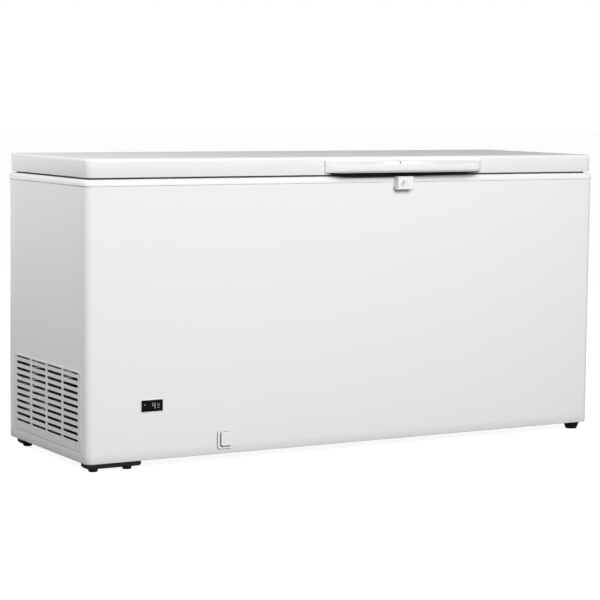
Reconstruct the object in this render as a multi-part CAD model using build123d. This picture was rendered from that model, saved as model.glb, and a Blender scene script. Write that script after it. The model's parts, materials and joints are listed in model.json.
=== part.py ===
from build123d import *
import os

# Chest freezer: a foam-filled steel cabinet with an aluminium tub, a sprung lid and the
# refrigeration unit in its left end. Millimetres, X along the front (left is -X), -Y is
# the front, +Z is up. The origin is on the floor, under the middle of the whole outline.

os.makedirs("parts", exist_ok=True)

# ------------------------------------------------------------- driving dimensions
WIDTH = 1700.0            # over the rim
HEIGHT = 850.0            # floor to lid top
HANDLE_FACE_Y = -320.0    # frontmost face
SPACER_FACE_Y = 320.0     # rearmost face

RIM_PROUD = 2.0           # rim stands this far outside the shell
SHELL_X = WIDTH / 2 - RIM_PROUD
SHELL_FRONT_Y = -275.0
SHELL_REAR_Y = 287.0
SHELL_R = 20.0            # vertical corners
SHEET = 0.8               # coated steel and aluminium sheet
MID_Y = (SHELL_FRONT_Y + SHELL_REAR_Y) / 2

BASE_Z = 22.0             # underside of the cabinet
RIM_Z = 776.0             # lower edge of the rim
DECK_Z = 793.5            # top of the rim
LID_Z = 798.5             # lower edge of the lid
WALL = 68.0               # insulated wall
FLOOR_Z = BASE_Z + 70.0   # tub floor
STEP_Z = 362.0            # tub step above the machine space
STEP_X = -500.0           # face of that step

MACHINE_X = -560.0        # machine space: shell to here, up to MACHINE_Z
MACHINE_Z = 300.0

LID_INSET = 4.0           # lid skirt inside the shell line
LID_R = 18.0
LID_TOP_R = 8.0
LID_FRONT_Y = SHELL_FRONT_Y + LID_INSET

TUB_X = SHELL_X - WALL
TUB_FRONT_Y = SHELL_FRONT_Y + WALL
TUB_REAR_Y = SHELL_REAR_Y - WALL

HINGE_X = (-560.0, 560.0)
PIVOT_Y, PIVOT_Z = 302.0, 786.0
PIN_R = 4.0

HANDLE_X = 161.0          # the handle stands right of the middle
LOCK_X = 142.0            # key cylinder
LOCK_Z = 774.6

DRAIN_X, DRAIN_Z = -426.0, 61.5
DRAIN_Y = -170.0          # floor drain, straight behind the outlet

COMPRESSOR_X, COMPRESSOR_Y = -705.0, 20.0
PLATE_TOP = BASE_Z + 2.0  # top of the steel plate that carries the compressor

TUBE_R = 2.5              # condenser tube in the shell walls
COIL_R = 3.5              # evaporator tube round the tub


# ------------------------------------------------------------- small helpers
def block(x0, x1, y0, y1, z0, z1):
    """Box between two corners."""
    return Pos((x0 + x1) / 2, (y0 + y1) / 2, (z0 + z1) / 2) * Box(x1 - x0, y1 - y0, z1 - z0)


def column(x0, x1, y0, y1, z0, z1, r):
    """Upright box with rounded vertical corners."""
    plan = Pos((x0 + x1) / 2, (y0 + y1) / 2, z0) * RectangleRounded(x1 - x0, y1 - y0, r)
    return extrude(plan, z1 - z0)


def body_column(inset, z0, z1, r):
    """Column that follows the cabinet's plan outline, moved inwards by inset."""
    half = SHELL_X - inset
    return column(-half, half, SHELL_FRONT_Y + inset, SHELL_REAR_Y - inset, z0, z1, r)


def tablet(x0, x1, z0, z1, y0, y1, r):
    """Flat plate with rounded corners, facing the front."""
    face = Plane.XZ * Pos((x0 + x1) / 2, (z0 + z1) / 2) * RectangleRounded(x1 - x0, z1 - z0, r)
    return Pos(0, y1, 0) * extrude(face, y1 - y0)


def rod(start, direction, length, r):
    """Cylinder from a point along a direction."""
    plane = Plane(origin=start, z_dir=direction)
    return extrude(plane * Circle(r), length)


def tube(points, r, bend):
    """Round tube along straight runs joined by bends."""
    path = FilletPolyline(*points, radius=bend)
    return sweep(Plane(origin=path @ 0, z_dir=path % 0) * Circle(r), path=path)


def prism_x(outline, x0, x1):
    """Solid with a (Y, Z) outline, from x0 to x1."""
    face = make_face(Plane.YZ * Polyline(*outline, close=True))
    return Pos(x0, 0, 0) * extrude(face, x1 - x0, dir=(1, 0, 0))


def screw(start, direction, shank):
    """Slotted pan-head screw; start is under the head, direction points out of it."""
    plane = Plane(origin=start, z_dir=direction)
    head = extrude(plane * Circle(4), 2.6)
    head = fillet(head.edges().sort_by(Axis(start, direction))[-1], 1.2)
    slot = plane * Pos(0, 0, 2.6) * Box(1.2, 5.2, 1.6)
    return head + extrude(plane * Circle(2), -shank) - slot


def group(solids):
    """Separate solids kept in one node."""
    flat = []
    for s in solids:
        flat += s.solids()
    return Compound(children=flat)


# ------------------------------------------------------------- cabinet sheets and tub
GRILLE_Y = (-236.0, 233.0)
GRILLE_Z = (53.0, 271.5)
DISPLAY_X = (-687.5, -619.0)
DISPLAY_Z = (155.0, 190.0)
BEZEL_RIM = 1.5
GLAND_X, GLAND_Z = -780.0, 76.0


def cabinet_shell():
    """Coated steel wrap: front, both ends and short return flanges at the back."""
    wrap = body_column(0, BASE_Z, 784, SHELL_R) - body_column(SHEET, BASE_Z, 784, SHELL_R - SHEET)
    opening_x = SHELL_X - SHELL_R
    wrap -= block(-opening_x, opening_x, SHELL_REAR_Y - 5, SHELL_REAR_Y + 5, BASE_Z, 784)
    wrap -= block(-SHELL_X - 5, -SHELL_X + 5, GRILLE_Y[0] + 12, GRILLE_Y[1] - 12,
                  GRILLE_Z[0] + 12, GRILLE_Z[1] - 4.5)
    wrap -= block(DISPLAY_X[0] + 4, DISPLAY_X[1] - 4, SHELL_FRONT_Y - 5, SHELL_FRONT_Y + 5,
                  DISPLAY_Z[0] + 4, DISPLAY_Z[1] - 4)
    return wrap - rod((DRAIN_X, SHELL_FRONT_Y - 5, DRAIN_Z), (0, 1, 0), 10, 13)


def rear_panel():
    """Flat sheet inside the shell's flanges, open behind the machine space."""
    x = SHELL_X - SHEET
    y1 = SHELL_REAR_Y - SHEET
    sheet = block(-x, x, y1 - SHEET, y1, BASE_Z, 784)
    corner = SHELL_R - SHEET
    sheet &= body_column(SHEET, BASE_Z, 784, corner)
    return sheet - block(-800, MACHINE_X - 40, y1 - 5, y1 + 5, 60, 270)


def rear_vent_panel():
    """Screwed cover over the machine space's rear opening, with two banks of air slots."""
    y0 = SHELL_REAR_Y - SHEET
    cover = tablet(-815, MACHINE_X - 25, 46, 284, y0, y0 + 1.6, 6)
    for x in (-757, -648):
        for row in range(9):
            z = 95 + 18 * row
            cover -= tablet(x - 38, x + 38, z - 3, z + 3, y0 - 2, y0 + 4, 2.9)
    return cover - rod((GLAND_X, y0 - 2, GLAND_Z), (0, 1, 0), 6, 8.2)


def bottom_panel():
    """Galvanised sheet under the foam, right of the machine space."""
    x1 = SHELL_X - SHEET
    y1 = SHELL_REAR_Y - 2 * SHEET
    sheet = body_column(SHEET, BASE_Z, BASE_Z + SHEET, SHELL_R - SHEET)
    return sheet & block(MACHINE_X, x1, SHELL_FRONT_Y, y1, BASE_Z, BASE_Z + SHEET)


def tub_form(grow, top):
    """Solid form of the stepped tub, grown outwards by grow."""
    deep = column(STEP_X - grow, TUB_X + grow, TUB_FRONT_Y - grow, TUB_REAR_Y + grow,
                  FLOOR_Z - grow, top, 12 + grow)
    shallow = column(-TUB_X - grow, STEP_X + 40, TUB_FRONT_Y - grow, TUB_REAR_Y + grow,
                     STEP_Z - grow, top, 12 + grow)
    return deep + shallow


def inner_liner():
    """Embossed aluminium tub with a raised step over the machine space."""
    tub = tub_form(SHEET, RIM_Z) - tub_form(0, RIM_Z + 5)
    return tub - rod((DRAIN_X, DRAIN_Y, FLOOR_Z - 5), (0, 0, 1), 10, 11.2)


def machine_partition():
    """Galvanised sheet that keeps the foam out of the machine space."""
    y0 = SHELL_FRONT_Y + SHEET
    y1 = SHELL_REAR_Y - 2 * SHEET
    top = block(-SHELL_X + SHEET, MACHINE_X, y0, y1, MACHINE_Z, MACHINE_Z + SHEET)
    side = block(MACHINE_X - SHEET, MACHINE_X, y0, y1, PLATE_TOP, MACHINE_Z)
    sheet = (top + side) & body_column(SHEET, BASE_Z, HEIGHT, SHELL_R - SHEET)
    for x, y in ((CONDENSER_X, RISER_Y[0]), (CONDENSER_X, RISER_Y[1]), SUCTION_AT):
        sheet -= rod((x, y, MACHINE_Z - 5), (0, 0, 1), 10, 6)
    return sheet - rod((MACHINE_X - 5, COIL_IN_Y, COIL_IN_Z), (1, 0, 0), 10, 6)


# ------------------------------------------------------------- refrigerant tubes in the walls
CONDENSER_X = -(SHELL_X - SHEET - TUBE_R - 0.2)
CONDENSER_Y = SHELL_FRONT_Y + SHEET + TUBE_R + 0.2
RISER_Y = (250.0, 265.0)          # condenser in and out, at the left rear
COIL_IN_Y, COIL_IN_Z = 245.0, 130.0
SUCTION_AT = (-806.0, -90.0)      # evaporator's way back into the machine space


def condenser_path():
    """Six passes round left end, front and right end, stacked up the walls."""
    left, front, right = CONDENSER_X, CONDENSER_Y, -CONDENSER_X
    turn_y = 205.0
    points = [(left, RISER_Y[0], 215), (left, RISER_Y[0], 340)]
    for level in range(6):
        z = 340 + 80 * level
        if level % 2 == 0:
            if level:
                points.append((left, turn_y, z))
            points += [(left, front, z), (right, front, z), (right, turn_y, z)]
        else:
            points += [(right, turn_y, z), (right, front, z), (left, front, z)]
            if level < 5:
                points.append((left, turn_y, z))
    points += [(left, RISER_Y[1], 740), (left, RISER_Y[1], 215)]
    return points


def evaporator_path():
    """Coil round the deep tub, then round the full tub, and back down to the machine space."""
    gap = SHEET + COIL_R + 0.3
    right, front, rear = TUB_X + gap, TUB_FRONT_Y - gap, TUB_REAR_Y + gap
    deep, full = STEP_X - gap, -TUB_X - gap
    points = [(MACHINE_X - 15, COIL_IN_Y, COIL_IN_Z), (deep + 30, COIL_IN_Y, COIL_IN_Z),
              (deep + 30, rear, COIL_IN_Z)]
    for turn in range(4):
        z = COIL_IN_Z + 60 * turn
        rise_y = 150 - 40 * turn
        points += [(right, rear, z), (right, front, z), (deep, front, z), (deep, rise_y, z)]
        if turn < 3:
            points += [(deep, rise_y, z + 60), (deep, rear, z + 60)]
    under_step = STEP_Z - gap - 6
    points += [(deep, 30, under_step), (full, 30, under_step), (full, 30, 410), (full, rear, 410)]
    for turn in range(6):
        z = 410 + 60 * turn
        points += [(right, rear, z), (right, front, z), (full, front, z)]
        if turn < 5:
            rise_y = -5 - 30 * turn
            points += [(full, rise_y, z), (full, rise_y, z + 60), (full, rear, z + 60)]
    x, y = SUCTION_AT
    points += [(full, -170, 710), (x, -170, 710), (x, -170, 640), (x, y, 640), (x, y, 285)]
    return points


def condenser_tube():
    return tube(condenser_path(), TUBE_R, 17)


def evaporator_tube():
    return tube(evaporator_path(), COIL_R, 10)


def cabinet_foam():
    """Rigid foam between shell and tub and up inside the rim; the wall tubes are cast into it."""
    y1 = SHELL_REAR_Y - 2 * SHEET
    z0 = BASE_Z + SHEET
    foam = body_column(SHEET, z0, RIM_Z, SHELL_R - SHEET)
    foam &= block(-SHELL_X, SHELL_X, SHELL_FRONT_Y, y1, z0, RIM_Z)
    foam -= tub_form(SHEET, RIM_Z + 5)
    foam -= block(-SHELL_X, MACHINE_X, SHELL_FRONT_Y, SHELL_REAR_Y, 0, MACHINE_Z + SHEET)
    foam += body_column(10, RIM_Z, DECK_Z - 3, 10) - body_column(49.5, RIM_Z, DECK_Z - 3, 0.5)
    foam -= rod((DRAIN_X, SHELL_FRONT_Y, DRAIN_Z), (0, 1, 0), 40, 13)
    foam -= tube(drain_path(), 10, 18) + rod((DRAIN_X, DRAIN_Y, DRAIN_Z + 18), (0, 0, 1), 20, 11.2)
    foam -= block(*PROBE_BOX)
    return foam


# ------------------------------------------------------------- rim
RIM_PROFILE = [  # (inwards from the outer face, height)
    (0, RIM_Z), (0, DECK_Z - 8), (8, DECK_Z), (55, DECK_Z), (55, RIM_Z + 3), (71.5, RIM_Z + 3),
    (71.5, RIM_Z - 11), (70, RIM_Z - 11), (70, RIM_Z), (52, RIM_Z), (52, DECK_Z - 3),
    (8, DECK_Z - 3), (2, DECK_Z - 9), (2, RIM_Z),
]
RIM_DEPTH = SHELL_REAR_Y - SHELL_FRONT_Y + 2 * RIM_PROUD


def rim_bar(length, turn, x, y):
    """One mitred length of the plastic rim; its outer face is at y = 0 before it is turned."""
    bar = prism_x(RIM_PROFILE, -length / 2, length / 2)
    reach = 71.5
    plan = make_face(Polyline((-length / 2, 0), (length / 2, 0), (length / 2 - reach, reach),
                              (-length / 2 + reach, reach), close=True))
    bar &= Pos(0, 0, RIM_Z - 20) * extrude(plan, 60, dir=(0, 0, 1))
    placed = Pos(x, y, 0) * Rot(0, 0, turn) * bar
    placed &= body_column(-RIM_PROUD, RIM_Z - 20, HEIGHT, SHELL_R + RIM_PROUD)
    wall = body_column(0.5, RIM_Z - 20, RIM_Z, SHELL_R) - body_column(WALL, RIM_Z - 20, RIM_Z, 12)
    return placed - wall


# ------------------------------------------------------------- lid
def lid_block(inset, z0):
    """Lid outline with rounded corners and top edges, moved inwards by inset."""
    half = SHELL_X - LID_INSET - inset
    form = column(-half, half, LID_FRONT_Y + inset, SHELL_REAR_Y - LID_INSET - inset,
                  z0, HEIGHT - inset, LID_R - inset)
    top = form.faces().sort_by(Axis.Z)[-1]
    return fillet(top.edges(), LID_TOP_R - inset)


def lid_plug(inset, z0, z1):
    """Part of the lid's underside that drops inside the rim."""
    half_x = TUB_X - 12 - inset
    return column(-half_x, half_x, TUB_FRONT_Y + 10 + inset, TUB_REAR_Y - 10 - inset, z0, z1, 18 - inset)


PLUG_Z = 785.0
PANEL = 1.6


def lid_skin():
    return lid_block(0, LID_Z) - lid_block(SHEET, LID_Z - 1)


def lid_inner_panel():
    """White plastic tray that closes the lid and drops into the tub's mouth."""
    half = SHELL_X - LID_INSET - SHEET
    flange = column(-half, half, LID_FRONT_Y + SHEET, SHELL_REAR_Y - LID_INSET - SHEET,
                    LID_Z, LID_Z + PANEL, LID_R - SHEET)
    tray = flange + lid_plug(0, PLUG_Z, LID_Z + PANEL)
    return tray - lid_plug(PANEL, PLUG_Z + PANEL, LID_Z + 5)


def lid_foam():
    fill = lid_block(SHEET, LID_Z + PANEL)
    return fill + lid_plug(PANEL, PLUG_Z + PANEL, LID_Z + PANEL)


def lid_gasket():
    """Magnetic bulb seal under the lid's edge, with its hollow chamber."""
    def ring(out, z0, z1, r):
        return body_column(out, z0, z1, r)
    outer = ring(17, DECK_Z + 0.3, LID_Z, 12) - ring(35, DECK_Z + 0.3, LID_Z, 4)
    chamber = ring(19, DECK_Z + 1.5, LID_Z - 1.2, 10) - ring(33, DECK_Z + 1.5, LID_Z - 1.2, 5)
    return outer - chamber


# ------------------------------------------------------------- handle and lock
HANDLE_BASE = 271.0       # half width at the lid
HANDLE_FRONT = 231.0      # half width at the face
HANDLE_Z0, HANDLE_Z1 = 801.0, 838.0
HANDLE_WALL, BACK_PLATE = 3.2, 2.4


def handle_form(inset, z0):
    """Handle block: slanted ends, a top that falls to the front and an undercut lip."""
    y0, y1 = HANDLE_FACE_Y + inset, LID_FRONT_Y
    slope = HANDLE_BASE - HANDLE_FRONT
    plan = make_face(Polyline(
        (HANDLE_X - HANDLE_BASE + inset * 1.2, y1), (HANDLE_X - HANDLE_BASE + slope + inset * 1.2, y0),
        (HANDLE_X + HANDLE_BASE - slope - inset * 1.2, y0), (HANDLE_X + HANDLE_BASE - inset * 1.2, y1),
        close=True))
    form = Pos(0, 0, z0) * extrude(plan, 60, dir=(0, 0, 1))
    side = [(y1 + 1, z0), (HANDLE_FACE_Y + 9 + inset, z0), (y0, HANDLE_Z0 + 8),
            (y0, HANDLE_Z1 - 10 - inset), (y0 + 3, HANDLE_Z1 - 6 - inset),
            (y1 - 12, HANDLE_Z1 - 3 - inset), (y1 + 1, HANDLE_Z1 - inset)]
    return form & prism_x(side, HANDLE_X - HANDLE_BASE - 10, HANDLE_X + HANDLE_BASE + 10)


def handle():
    """Moulded grip, open underneath, with a back plate against the lid and a raised pad on top."""
    grip = handle_form(0, HANDLE_Z0)
    room = block(HANDLE_X - HANDLE_BASE, HANDLE_X + HANDLE_BASE, HANDLE_FACE_Y, LID_FRONT_Y - BACK_PLATE,
                 HANDLE_Z0 - 10, HANDLE_Z1 + 5)
    hollow = handle_form(HANDLE_WALL, HANDLE_Z0 - 5) & room
    pad = column(HANDLE_X - 98, HANDLE_X + 78, LID_FRONT_Y - 41, LID_FRONT_Y - 3, HANDLE_Z1 - 11,
                 HANDLE_Z1 + 0.5, 5)
    return grip + pad - hollow


KEEPER_Z = HANDLE_Z0 + 1
BOLT_X = LOCK_X + 7       # middle of the bolt's tongue
BOLT_Y = (-284.0, -280.0)
CRANK = 7.0               # crank pin, right of and below the key's axis by this much
BARREL_R = 9.0


def lock_keeper():
    """Steel angle inside the handle; the bolt rises through its slot."""
    y = LID_FRONT_Y - BACK_PLATE
    angle = block(BOLT_X - 24, BOLT_X + 24, -300, y, KEEPER_Z, KEEPER_Z + 2)
    angle += block(BOLT_X - 24, BOLT_X + 24, y - 2, y, KEEPER_Z, KEEPER_Z + 24)
    return angle - block(BOLT_X - 7, BOLT_X + 7, BOLT_Y[0] - 2.5, BOLT_Y[1] + 2.5, 790, 820)


def lock_housing():
    """Cast block on the front of the cabinet and rim, hollow for the bolt."""
    x0, x1, top = LOCK_X - 17.6, LOCK_X + 36.4, DECK_Z - 1
    profile = [(-297, 756), (-297, top - 2), (-295, top), (-277, top), (-277, RIM_Z), (-275, RIM_Z),
               (-275, 754), (-295, 754)]
    form = prism_x(profile, x0, x1)
    upright = form.edges().filter_by(Axis.Z).group_by(Axis.Y)[0]
    form = fillet(upright, 2.5)
    form -= block(x0 + 3, x1 - 3, -293.5, -277.5, 757, top - 3)
    form -= rod((LOCK_X, -300, LOCK_Z), (0, 1, 0), 10, BARREL_R + 0.05)
    return form - block(BOLT_X - 5.3, BOLT_X + 5.3, BOLT_Y[0] - 0.4, BOLT_Y[1] + 0.4, top - 5, top + 5)


def lock_cylinder():
    """Key barrel with its keyway, and a crank with a pin that lifts the bolt."""
    barrel = rod((LOCK_X, -298.5, LOCK_Z), (0, 1, 0), 11.5, BARREL_R)
    barrel = fillet(barrel.edges().sort_by(Axis.Y)[0], 0.8)
    barrel -= block(LOCK_X - 0.9, LOCK_X + 0.9, -300, -290, LOCK_Z - 4, LOCK_Z + 4.5)
    barrel -= rod((LOCK_X, -300, LOCK_Z), (0, 1, 0), 6, 2.0)
    disc = rod((LOCK_X, -287, LOCK_Z), (0, 1, 0), 2, 6.5)
    arm = rod((LOCK_X + CRANK, -287, LOCK_Z - CRANK), (0, 1, 0), 2, 3)
    web = make_face(Polyline((LOCK_X - 3, LOCK_Z - 3), (LOCK_X + CRANK - 2.1, LOCK_Z - CRANK - 2.1),
                             (LOCK_X + CRANK + 2.1, LOCK_Z - CRANK + 2.1), (LOCK_X + 3, LOCK_Z + 3), close=True))
    web = Pos(0, -287, 0) * extrude(Rot(90, 0, 0) * web, 2, dir=(0, 1, 0))
    pin = rod((LOCK_X + CRANK, -286, LOCK_Z - CRANK), (0, 1, 0), 5.5, 1.5)
    return barrel + disc + web + arm + pin


def lock_bolt():
    """Flat bolt; its wide slot lets the crank pin swing while the bolt rises."""
    y0, y1 = BOLT_Y
    foot, pin_z = 760, LOCK_Z - CRANK
    plate = block(BOLT_X - 6.5, BOLT_X + 11, y0, y1, foot, pin_z + 6)
    tongue = block(BOLT_X - 4.8, BOLT_X + 4.8, y0, y1, foot, DECK_Z - 1.4)
    slot = block(LOCK_X + CRANK - 2.2, LOCK_X + 1.42 * CRANK + 2.1, y0 - 1, y1 + 1, pin_z - 2, pin_z + 2)
    return plate + tongue - slot


# ------------------------------------------------------------- hinges
def at_hinges(shape):
    return group([Pos(x, 0, 0) * shape for x in HINGE_X])


def hinge_bodies():
    """Steel channel on the rear wall; its two ears carry the pin."""
    y0 = SHELL_REAR_Y
    back = block(-34, 34, y0, y0 + 2, 690, RIM_Z - 3)
    floor = block(-30, 30, y0 + 2, 315, 690, 692)
    body = back + floor
    for side in (-1, 1):
        x0, x1 = sorted((side * 28, side * 30))
        body += block(x0, x1, y0 + 3, 315, 690, PIVOT_Z) + rod((x0, PIVOT_Y, PIVOT_Z), (1, 0, 0), 2, 13 - 0.5)
        body += block(x0, x1, y0, y0 + 5, 690, RIM_Z - 3)
    body -= rod((-40, PIVOT_Y, PIVOT_Z), (1, 0, 0), 80, PIN_R)
    return at_hinges(body)


def hinge_pins():
    pin = rod((-31, PIVOT_Y, PIVOT_Z), (1, 0, 0), 62, PIN_R)
    for x in (-32.5, 31):
        pin += rod((x, PIVOT_Y, PIVOT_Z), (1, 0, 0), 1.5, 6)
    return at_hinges(pin)


ARM_PLATE_Y = SHELL_REAR_Y - LID_INSET


def hinge_arms():
    """Lid-side leaf with two knuckles that turn on the pin and press the spring cup."""
    side = [(290.6, PIVOT_Z), (290.6, 796), (ARM_PLATE_Y, 802), (ARM_PLATE_Y, 844), (298, 844),
            (PIVOT_Y + 11, 812), (PIVOT_Y + 11, PIVOT_Z)]
    knuckle = prism_x(side, -1.5, 1.5) + rod((-1.5, PIVOT_Y, PIVOT_Z), (1, 0, 0), 3, 11)
    leaf = block(-27, 27, ARM_PLATE_Y, ARM_PLATE_Y + 2, 802, 844)
    arm = leaf
    for x in (-20, 20):
        arm += Pos(x, 0, 0) * knuckle
    arm -= rod((-40, PIVOT_Y, PIVOT_Z), (1, 0, 0), 80, PIN_R + 0.06)
    return at_hinges(arm)


SPRING_Z = (692.0, 748.0)


def hinge_springs():
    """Balance spring of stacked turns, closed and held short by the shut lid."""
    turns, wire, r = 10, 2.0, 9.0
    pitch = (SPRING_Z[1] - SPRING_Z[0] - 2 * wire) / turns
    path = Helix(pitch, pitch * turns, r, center=(0, PIVOT_Y, SPRING_Z[0] + wire))
    coil = sweep(Plane(origin=path @ 0, z_dir=path % 0) * Circle(wire), path=path, is_frenet=True)
    return at_hinges(coil)


CUP_RISE = 3.5


def spring_cups():
    """Sliding cup on top of each spring; it follows the arm's heel."""
    cup = rod((0, PIVOT_Y, SPRING_Z[1] + 1), (0, 0, 1), 4, 12)
    cup += block(-24, 24, PIVOT_Y - 7, PIVOT_Y + 7, SPRING_Z[1] + 4, SPRING_Z[1] + 8)
    for x in (-20, 20):
        cup += block(x - 2, x + 2, PIVOT_Y - 5, PIVOT_Y + 5, SPRING_Z[1] + 6, PIVOT_Z - 11 - CUP_RISE - 0.6)
    return at_hinges(cup)


def hinge_covers():
    """Plastic cap over each channel, below the swing of the arm."""
    outer = block(-38, 38, SHELL_REAR_Y, 318, 684, 772)
    outer = fillet(outer.edges().filter_by(Axis.Z).group_by(Axis.Y)[-1], 3)
    inner = block(-35.5, 35.5, SHELL_REAR_Y - 1, 315.6, 686.5, 780)
    return at_hinges(outer - inner)


def lid_screws():
    """Screws that hold the hinge leaves and the handle to the lid."""
    y = ARM_PLATE_Y + 2
    leaf = [screw((x, y, z), (0, 1, 0), 14) for x in (-10, 10) for z in (812, 834)]
    y = LID_FRONT_Y - 2.4
    grip = [screw((HANDLE_X + dx, y, HANDLE_Z0 + 18), (0, -1, 0), 16) for dx in (-215, -80, 90, 215)]
    return group([at_hinges(group(leaf))] + grip)


def rear_spacers():
    """Blocks that hold the cabinet off the wall behind it."""
    stub = rod((0, SPACER_FACE_Y, 0), (0, -1, 0), SPACER_FACE_Y - SHELL_REAR_Y, 16)
    stub = chamfer(stub.edges().sort_by(Axis.Y)[-1], 4)
    return group([Pos(x, 0, z) * stub for x in (-380, 780) for z in (120, 640)])


# ------------------------------------------------------------- machine space
def base_plate():
    """Pressed steel plate under the compressor, with an upturned edge front and back."""
    x0, x1 = -SHELL_X + SHEET, MACHINE_X - SHEET
    y0, y1 = SHELL_FRONT_Y + SHEET, SHELL_REAR_Y - 2 * SHEET
    plate = block(x0, x1, y0, y1, BASE_Z, PLATE_TOP)
    plate += block(x0 + 25, x1, y1 - 2, y1, PLATE_TOP, PLATE_TOP + 20)
    plate += block(x0 + 25, x1, y0, y0 + 2, PLATE_TOP, PLATE_TOP + 20)
    plate &= body_column(SHEET, BASE_Z, HEIGHT, SHELL_R - SHEET)
    for column_x in (-790, -728, -666, -604):
        for row_y in (-200, -175, 190, 215):
            plate -= Pos(column_x, row_y, BASE_Z) * extrude(SlotOverall(40, 8), 5)
    return plate


MOUNTS = [(COMPRESSOR_X + dx, COMPRESSOR_Y + dy) for dx in (-84, 84) for dy in (-58, 58)]


def compressor_cradle():
    """Stamped legs welded under the can."""
    bar = column(COMPRESSOR_X - 98, COMPRESSOR_X + 98, COMPRESSOR_Y - 72, COMPRESSOR_Y + 72, 40, 43, 12)
    bar -= column(COMPRESSOR_X - 62, COMPRESSOR_X + 62, COMPRESSOR_Y - 90, COMPRESSOR_Y - 45, 30, 50, 10)
    bar -= column(COMPRESSOR_X - 62, COMPRESSOR_X + 62, COMPRESSOR_Y + 45, COMPRESSOR_Y + 90, 30, 50, 10)
    for x, y in MOUNTS:
        bar -= rod((x, y, 30), (0, 0, 1), 20, 8)
    return bar


def compressor_mounts():
    """Rubber grommets with a waist that holds the cradle."""
    grommets = []
    for x, y in MOUNTS:
        body = rod((x, y, PLATE_TOP), (0, 0, 1), 16, 12) + rod((x, y, 43), (0, 0, 1), 5, 11)
        body += rod((x, y, PLATE_TOP), (0, 0, 1), 22, 8)
        grommets.append(body - rod((x, y, 20), (0, 0, 1), 40, 4.2))
    return group(grommets)


def compressor_bolts():
    bolts = []
    for x, y in MOUNTS:
        head = Pos(x, y, 48) * extrude(RegularPolygon(7, 6), 4.5)
        bolts.append(head + rod((x, y, PLATE_TOP), (0, 0, 1), 25, 3.8))
    return group(bolts)


def can_form(inset):
    """Domed steel can, slightly oval."""
    x, y = COMPRESSOR_X, COMPRESSOR_Y
    form = column(x - 88 + inset, x + 88 - inset, y - 74 + inset, y + 74 - inset,
                  43 + inset, 212 - inset, 72 - inset)
    ends = form.faces().filter_by(Axis.Z).edges()
    return fillet(ends, 34 - inset)


def can_outside():
    """Can with the weld seam round its middle."""
    seam = column(COMPRESSOR_X - 91, COMPRESSOR_X + 91, COMPRESSOR_Y - 77, COMPRESSOR_Y + 77, 128, 132, 75)
    return can_form(0) + seam


def compressor_can():
    return can_outside() - can_form(3)


def compressor_motor():
    """Pump block and motor hung inside the can."""
    stator = rod((COMPRESSOR_X, COMPRESSOR_Y, 60), (0, 0, 1), 62, 56)
    pump = block(COMPRESSOR_X - 50, COMPRESSOR_X + 42, COMPRESSOR_Y - 30, COMPRESSOR_Y + 30, 122, 160)
    return stator + pump - rod((COMPRESSOR_X, COMPRESSOR_Y, 40), (0, 0, 1), 60, 20)


def relay_box():
    """Start relay and overload cover on the compressor's side."""
    x1 = COMPRESSOR_X + 88
    cover = block(x1 - 4, x1 + 34, COMPRESSOR_Y - 30, COMPRESSOR_Y + 30, 90, 165)
    cover = fillet(cover.edges().filter_by(Axis.Z), 4)
    clip = block(x1 + 6, x1 + 20, COMPRESSOR_Y - 31.5, COMPRESSOR_Y + 31.5, 110, 122)
    room = block(x1, x1 + 30, COMPRESSOR_Y - 26, COMPRESSOR_Y + 26, 94, 161)
    return cover + clip - can_outside() - room


def filter_drier():
    """Copper drier on the rear wall side, with necked ends."""
    x, y = -600, 205
    form = rod((x, y, 120), (0, 0, 1), 90, 9)
    form = chamfer(form.edges().group_by(Axis.Z)[0] + form.edges().group_by(Axis.Z)[-1], 5.5)
    return form + rod((x, y, 108), (0, 0, 1), 14, 3) + rod((x, y, 206), (0, 0, 1), 14, 3)


def discharge_tube():
    """From the can's shoulder to the condenser's way up."""
    x, y = COMPRESSOR_X, COMPRESSOR_Y
    return tube([(x + 30, y + 70.5, 112), (x + 30, y + 120, 112), (x + 30, y + 120, 190),
                 (CONDENSER_X, y + 120, 190), (CONDENSER_X, RISER_Y[0], 190), (CONDENSER_X, RISER_Y[0], 215)],
                TUBE_R, 12)


def liquid_tube():
    """From the condenser's way down to the drier."""
    return tube([(CONDENSER_X, RISER_Y[1], 215), (CONDENSER_X, RISER_Y[1], 170), (-600, RISER_Y[1], 170),
                 (-600, RISER_Y[1], 240), (-600, 205, 240), (-600, 205, 220)], TUBE_R, 10)


def capillary_tube():
    """Thin tube from the drier, coiled twice, to the evaporator's inlet."""
    loop = []
    for turn in range(2):
        z = 84 - 8 * turn
        loop += [(-640, 160, z), (-640, 250, z), (-585, 250, z - 4), (-585, 160, z - 4)]
    points = [(-600, 205, 108), (-600, 205, 92), (-612, 160, 92)] + loop
    points += [(-572, 160, 72), (-572, COIL_IN_Y, 72), (-572, COIL_IN_Y, COIL_IN_Z - COIL_R)]
    return tube(points, 1.3, 5)


def suction_tube():
    """From the evaporator's way down to the can."""
    x, y = SUCTION_AT
    return tube([(x, y, 285), (x, y, 235), (COMPRESSOR_X - 20, y, 235), (COMPRESSOR_X - 20, y, 150),
                 (COMPRESSOR_X - 20, COMPRESSOR_Y - 72, 150)], COIL_R, 10)


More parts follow.
